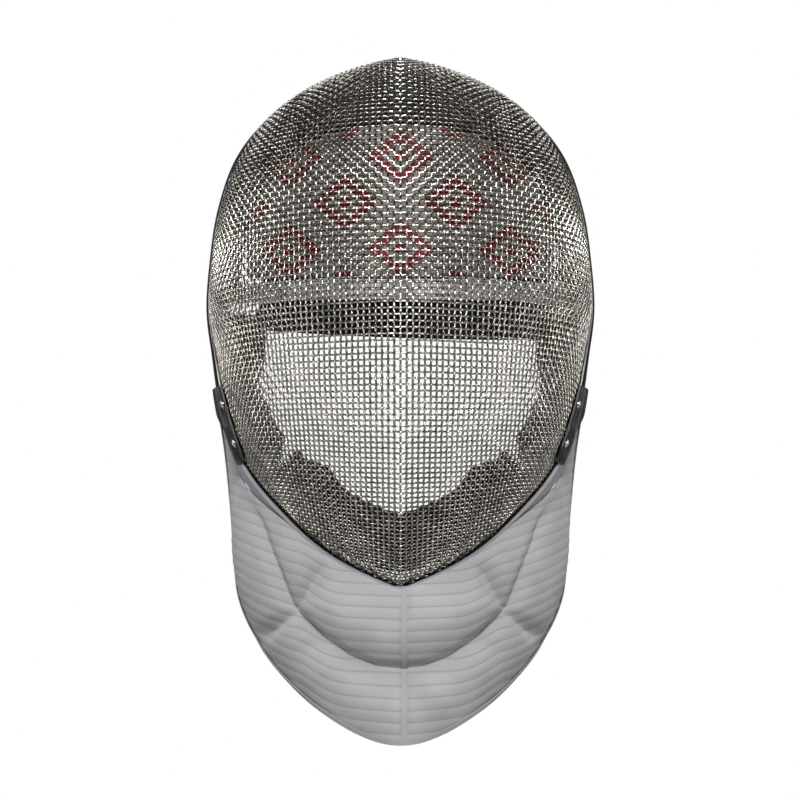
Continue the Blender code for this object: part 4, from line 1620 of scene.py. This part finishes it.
    def seam(self, piece: bpy.types.Object, angles: Sequence[float]) -> None:
        """Presses sewn channels into a pad's inner skin.

        Args:
            piece: The pad.
            angles: The channels' directions round the bowl.
        """
        for vertex in piece.data.vertices:
            point = vertex.co / MM
            radius = math.hypot(point.x, point.z - POLE.z)
            angle = math.degrees(math.atan2(point.x, point.z - POLE.z))
            away = min(abs(math.radians(wrapped(angle - line))) * radius for line in angles)
            if away > self.seam_half_width:
                continue
            nearest, _, _, distance = self.skin.find_nearest(point)
            if distance < self.offset + self.inner_skin:
                continue
            push = self.seam_depth * (1 - away / self.seam_half_width) ** 2
            vertex.co += (nearest - point).normalized() * push * MM

    def finish_pad(
        self, name: str, mesh: bmesh.types.BMesh, cover: bpy.types.Material,
        slot: str, node: str, seams: Sequence[float] = (),
    ) -> None:  # fmt: skip
        """Swells, seams and dresses one pad.

        Args:
            name: The piece's name.
            mesh: Its plain form.
            cover: Its material.
            slot: The record's slot.
            node: The node that it replaces.
            seams: Directions of its sewn channels.
        """
        piece = finished(name, mesh, cover)
        self.swollen(piece)
        if seams:
            self.seam(piece, seams)
        dressed(piece, slot, node)

    def build(self) -> None:
        """Builds every pad."""
        lining = SHADE_DARKENED_LINING.material()

        def side_thickness(_: float, v: float) -> float:
            return blend(3.5, 11.0, eased(v, 0.0, self.full_from)) - self.shrink

        def chin_thickness(_: float, v: float) -> float:
            return blend(3.5, 9.0, eased(v, 0.0, self.full_from)) - self.shrink

        for side, name in ((-1, "left"), (1, "right")):
            mesh = self.lining(
                (side * 92.4, side * 140.4), self.window_share, side_thickness, (36, 24),
                self.rear,
            )  # fmt: skip
            self.finish_pad(
                f"side_pad_{name}_cover", mesh, lining, "dark_pad", f"side_pad_{name}",
                [side * 108.0, side * 124.0],
            )  # fmt: skip
        mesh = self.lining(
            (142.4, 217.6), self.window_share, chin_thickness, (60, 20), self.rear
        )
        self.finish_pad(
            "chin_pad_cover", mesh, lining, "dark_pad", "chin_pad", [160.0, 180.0, -160.0]
        )
        mesh = self.lining(
            (-90.4, 90.4), self.crown_share, self.crown_thickness, (96, 24), self.crown_rear
        )
        seams = [-72.0, -48.0, -24.0, 0.0, 24.0, 48.0, 72.0]
        self.finish_pad("crown_pad_cover", mesh, lining, "dark_pad", "crown_pad", seams)
        self.build_forehead()

    def build_forehead(self) -> None:
        """Builds the forehead pad and the light band along its lower edge."""

        def forehead(u: float, v: float, w: float) -> Vector:
            x = (2 * u - 1) * self.forehead_half_width
            z = blend(self.forehead_bottom, self.forehead_top(x), v)
            thickness = blend(4.0, 10.0, eased(min(u, 1 - u, 1 - v), 0.0, 1 / 6))
            return bowl_at(x, z, -self.offset - w * (thickness - self.shrink))

        mesh = slab(72, 36, forehead)
        self.finish_pad(
            "forehead_pad_cover", mesh, FOREHEAD.material(), "grey_pad", "forehead_pad"
        )

        def band(u: float, v: float, w: float) -> Vector:
            depth = self.offset + w * 9.0 - 1.2 * w * abs(2 * v - 1) ** 3
            return bowl_at((2 * u - 1) * self.band_half_width, blend(*self.band_heights, v), -depth)

        piece = finished("forehead_band", slab(96, 8, band, size=(190.0, 10.0)), BAND.material())
        dressed(rounded(piece, 0.8, 3), "light_band", "forehead_binding")


# --- Straps --------------------------------------------------------------------------------------------------
@dataclass
class Straps:
    """The elastic strap behind the head and the padded spring tongue."""

    height: float = 40.0
    thickness: float = 2.0
    centre_z: float = -108.0
    tilt: float = 0.035
    half_width: float = 92.1
    front_y: float = 14.0
    rear_y: float = 135.0
    neck_x: float = -75.0
    neck_run: float = 6.0
    loop_height: float = 7.0
    loop_run: float = 0.25
    rib_pitch: float = 1.6
    rib_height: float = 0.25
    tongue_thickness: float = 4.0
    tongue: tuple[tuple[float, float, float], ...] = (
        (24, 5.0, 12), (50, 5.2, 20), (85, -3.6, 32),
        (110, -28.0, 35), (120, -65.0, 32), (120, -101.0, 26),
    )  # fmt: skip

    def strap(self, u: float, v: float, w: float) -> Vector:
        """Finds a point of the ribbed strap, whose left end narrows to a hook loop."""
        turn = math.pi * (1 - u)
        depth = self.rear_y - self.front_y
        x = self.half_width * math.cos(turn)
        y = self.front_y + depth * math.sin(turn)
        outward = Vector((x / self.half_width**2, (y - self.front_y) / depth**2, 0))
        middle = self.centre_z - self.tilt * x
        full = eased(x, self.neck_x - self.neck_run, self.neck_x)
        if y < blend(self.front_y, self.rear_y, self.loop_run) and x < 0:
            full = 0.0
        low = middle - self.height / 2
        high = blend(low + self.loop_height, middle + self.height / 2, full)
        z = blend(low, high, v)
        ribs = 0.5 + 0.5 * math.cos(math.tau * (z - low) / self.rib_pitch)
        half = self.thickness / 2 - self.rib_height * ribs * eased(min(v, 1 - v), 0.0, 0.04)
        point = Vector((x, y, z))
        return point + outward.normalized() * half * (2 * w - 1)

    def tongue_mesh(self) -> bmesh.types.BMesh:
        """Bends the padded tongue over the back of the head."""
        ys, zs, widths = zip(*self.tongue)
        lengths = [0.0]
        for i in range(1, len(ys)):
            lengths.append(lengths[-1] + math.hypot(ys[i] - ys[i - 1], zs[i] - zs[i - 1]))

        def middle(at: float) -> Vector:
            return Vector((0, through(lengths, ys, at), through(lengths, zs, at)))

        def place(u: float, v: float, w: float) -> Vector:
            at = v * lengths[-1]
            onward = middle(min(at + 1, lengths[-1])) - middle(max(at - 1, 0))
            out = Vector((1, 0, 0)).cross(onward.normalized())
            across = 2 * u - 1
            half = through(lengths, widths, at)
            crown = (1 - across**4) ** 0.5 * (1 - (2 * v - 1) ** 16) ** 0.5
            seam = 1 - 0.25 * max(0.0, 1 - abs(abs(across) - 0.55) / 0.09)
            thick = self.tongue_thickness * blend(0.35, 1.0, crown) * seam
            point = middle(at) + out * (w - 0.5) * thick
            return point + Vector((across * half, 0, 0))

        return slab(40, 80, place, size=(60.0, 190.0))

    def build(self) -> None:
        """Builds the strap and the tongue."""
        mesh = slab(90, 100, self.strap, size=(360.0, self.height))
        piece = finished("back_strap_webbing", mesh, ELASTIC.material(), sharp=60.0)
        dressed(piece, "black_elastic", "back_strap")
        piece = finished("back_tongue_cover", self.tongue_mesh(), SHADE_DARKENED_LINING.material())
        dressed(piece, "dark_pad", "back_tongue")


def dress_anchors(nodes: dict[str, bpy.types.Object]) -> None:
    """Gives the strap's anchor plates their finish.

    Args:
        nodes: The frame's nodes by name.
    """
    finish = TRIM.material()
    for name in ("strap_anchor_left", "strap_anchor_right"):
        plate = nodes[name]
        plate.data.materials.clear()
        plate.data.materials.append(finish)


# --- Studio ------------------------------------------------------------------------------------------
@dataclass
class Studio:
    """A pale floor, a white surround and soft lights round the mask."""

    camera_place: tuple[float, float, float] = (-0.00024, -1.115, -0.165)
    lens: float = 94.34
    floor_height: float = -0.62
    surround: float = 0.05  # what the surround lights the mask with

    def camera(self) -> None:
        """Sets the camera at the photograph's viewing angle."""
        data = bpy.data.cameras.new("camera")
        data.lens = self.lens
        data.sensor_width = 36.0
        data.clip_end = 20.0
        camera = bpy.data.objects.new("camera", data)
        camera.location = self.camera_place
        camera.rotation_euler = (math.radians(90), 0, 0)
        bpy.context.scene.collection.objects.link(camera)
        bpy.context.scene.camera = camera

    def world(self) -> None:
        """Lights the mask with a grey surround that the camera sees as white."""
        world = bpy.data.worlds.new("surround")
        world.use_nodes = True
        tree = world.node_tree
        dim = tree.nodes["Background"]
        dim.inputs["Color"].default_value = (1.0, 1.0, 1.0, 1.0)
        dim.inputs["Strength"].default_value = self.surround
        white = tree.nodes.new("ShaderNodeBackground")
        white.inputs["Color"].default_value = (1.0, 1.0, 1.0, 1.0)
        rays = tree.nodes.new("ShaderNodeLightPath")
        mix = tree.nodes.new("ShaderNodeMixShader")
        tree.links.new(rays.outputs["Is Camera Ray"], mix.inputs["Fac"])
        tree.links.new(dim.outputs["Background"], mix.inputs[1])
        tree.links.new(white.outputs["Background"], mix.inputs[2])
        tree.links.new(mix.outputs["Shader"], tree.nodes["World Output"].inputs["Surface"])
        bpy.context.scene.world = world
        bpy.context.scene.view_settings.view_transform = "Standard"

    def floor(self) -> None:
        """Lays a wide pale floor well below the mask."""
        mesh = bmesh.new()
        bmesh.ops.create_circle(mesh, cap_ends=True, segments=64, radius=6.0)
        bmesh.ops.translate(mesh, verts=mesh.verts, vec=(0, 0, self.floor_height))
        dye = Dye("pale_floor", 0.9)
        dye.shader.inputs["Base Color"].default_value = (0.3, 0.3, 0.3, 1.0)
        glow = dye.add("ShaderNodeEmission")
        rays = dye.add("ShaderNodeLightPath")
        mix = dye.add("ShaderNodeMixShader")
        dye.join(rays.outputs["Is Camera Ray"], mix.inputs["Fac"])
        dye.join(dye.shader.outputs["BSDF"], mix.inputs[1])
        dye.join(glow.outputs["Emission"], mix.inputs[2])
        dye.join(mix.outputs["Shader"], dye.tree.nodes["Material Output"].inputs["Surface"])
        finished("pale_floor", mesh, dye.material)

    def lamp(
        self, name: str, place: Vector, size: tuple[float, float], power: float
    ) -> bpy.types.Object:
        """Hangs one soft light that faces the mask.

        Args:
            name: Its name.
            place: Where it hangs.
            size: Its width and height in metres.
            power: Its power in watts.

        Returns:
            The light.
        """
        data = bpy.data.lights.new(name, "AREA")
        data.shape = "RECTANGLE"
        data.size, data.size_y = size
        data.energy = power
        lamp = bpy.data.objects.new(name, data)
        lamp.location = place
        aim = Vector((0, 0, -0.15)) - place
        lamp.rotation_euler = aim.to_track_quat("-Z", "Y").to_euler()
        bpy.context.scene.collection.objects.link(lamp)
        return lamp

    def light_wires(self, wires: Sequence[bpy.types.Object]) -> None:
        """Hangs low lights at the sides and in front that fall on the wires alone.

        Args:
            wires: The pieces of the woven cage.
        """
        lit = bpy.data.collections.new("lit_wires")
        for piece in wires:
            lit.objects.link(piece)
        for side, name in ((-1, "left"), (1, "right")):
            place = Vector((side * 1.1, 0.1, -0.5))
            low = self.lamp(f"{name}_low_light", place, (0.12, 0.8), 4.8)
            low.light_linking.receiver_collection = lit
        low = self.lamp("front_low_light", Vector((0.0, -0.9, -0.57)), (0.5, 0.06), 2.0)
        low.light_linking.receiver_collection = lit

    def build(self) -> None:
        """Builds the camera, surround, floor and lights."""
        self.camera()
        self.world()
        self.floor()
        self.lamp("front_light", Vector((0.0, -1.6, 0.85)), (0.7, 0.35), 35.0)
        for side, name in ((-1, "left"), (1, "right")):
            self.lamp(f"{name}_light", Vector((side * 1.3, -0.7, 0.3)), (0.15, 1.2), 5.5)
            self.lamp(f"{name}_back_light", Vector((side * 1.0, 0.6, 0.0)), (0.1, 1.4), 2.5)
        self.lamp("back_light", Vector((0.0, 1.4, 0.7)), (1.0, 0.6), 8.0)


def main() -> None:
    """Builds the mask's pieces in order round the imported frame."""
    logging.basicConfig(level=logging.INFO, format="%(message)s")
    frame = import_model()
    studio = Studio()
    studio.build()
    studio.light_wires(WovenCage().build())
    rim = RimSet()
    rim.build()
    SideTabs(rim).build()
    QuiltedBib().build()
    Padding().build()
    Straps().build()
    dress_anchors(frame["nodes"])


if __name__ == "__main__":
    main()
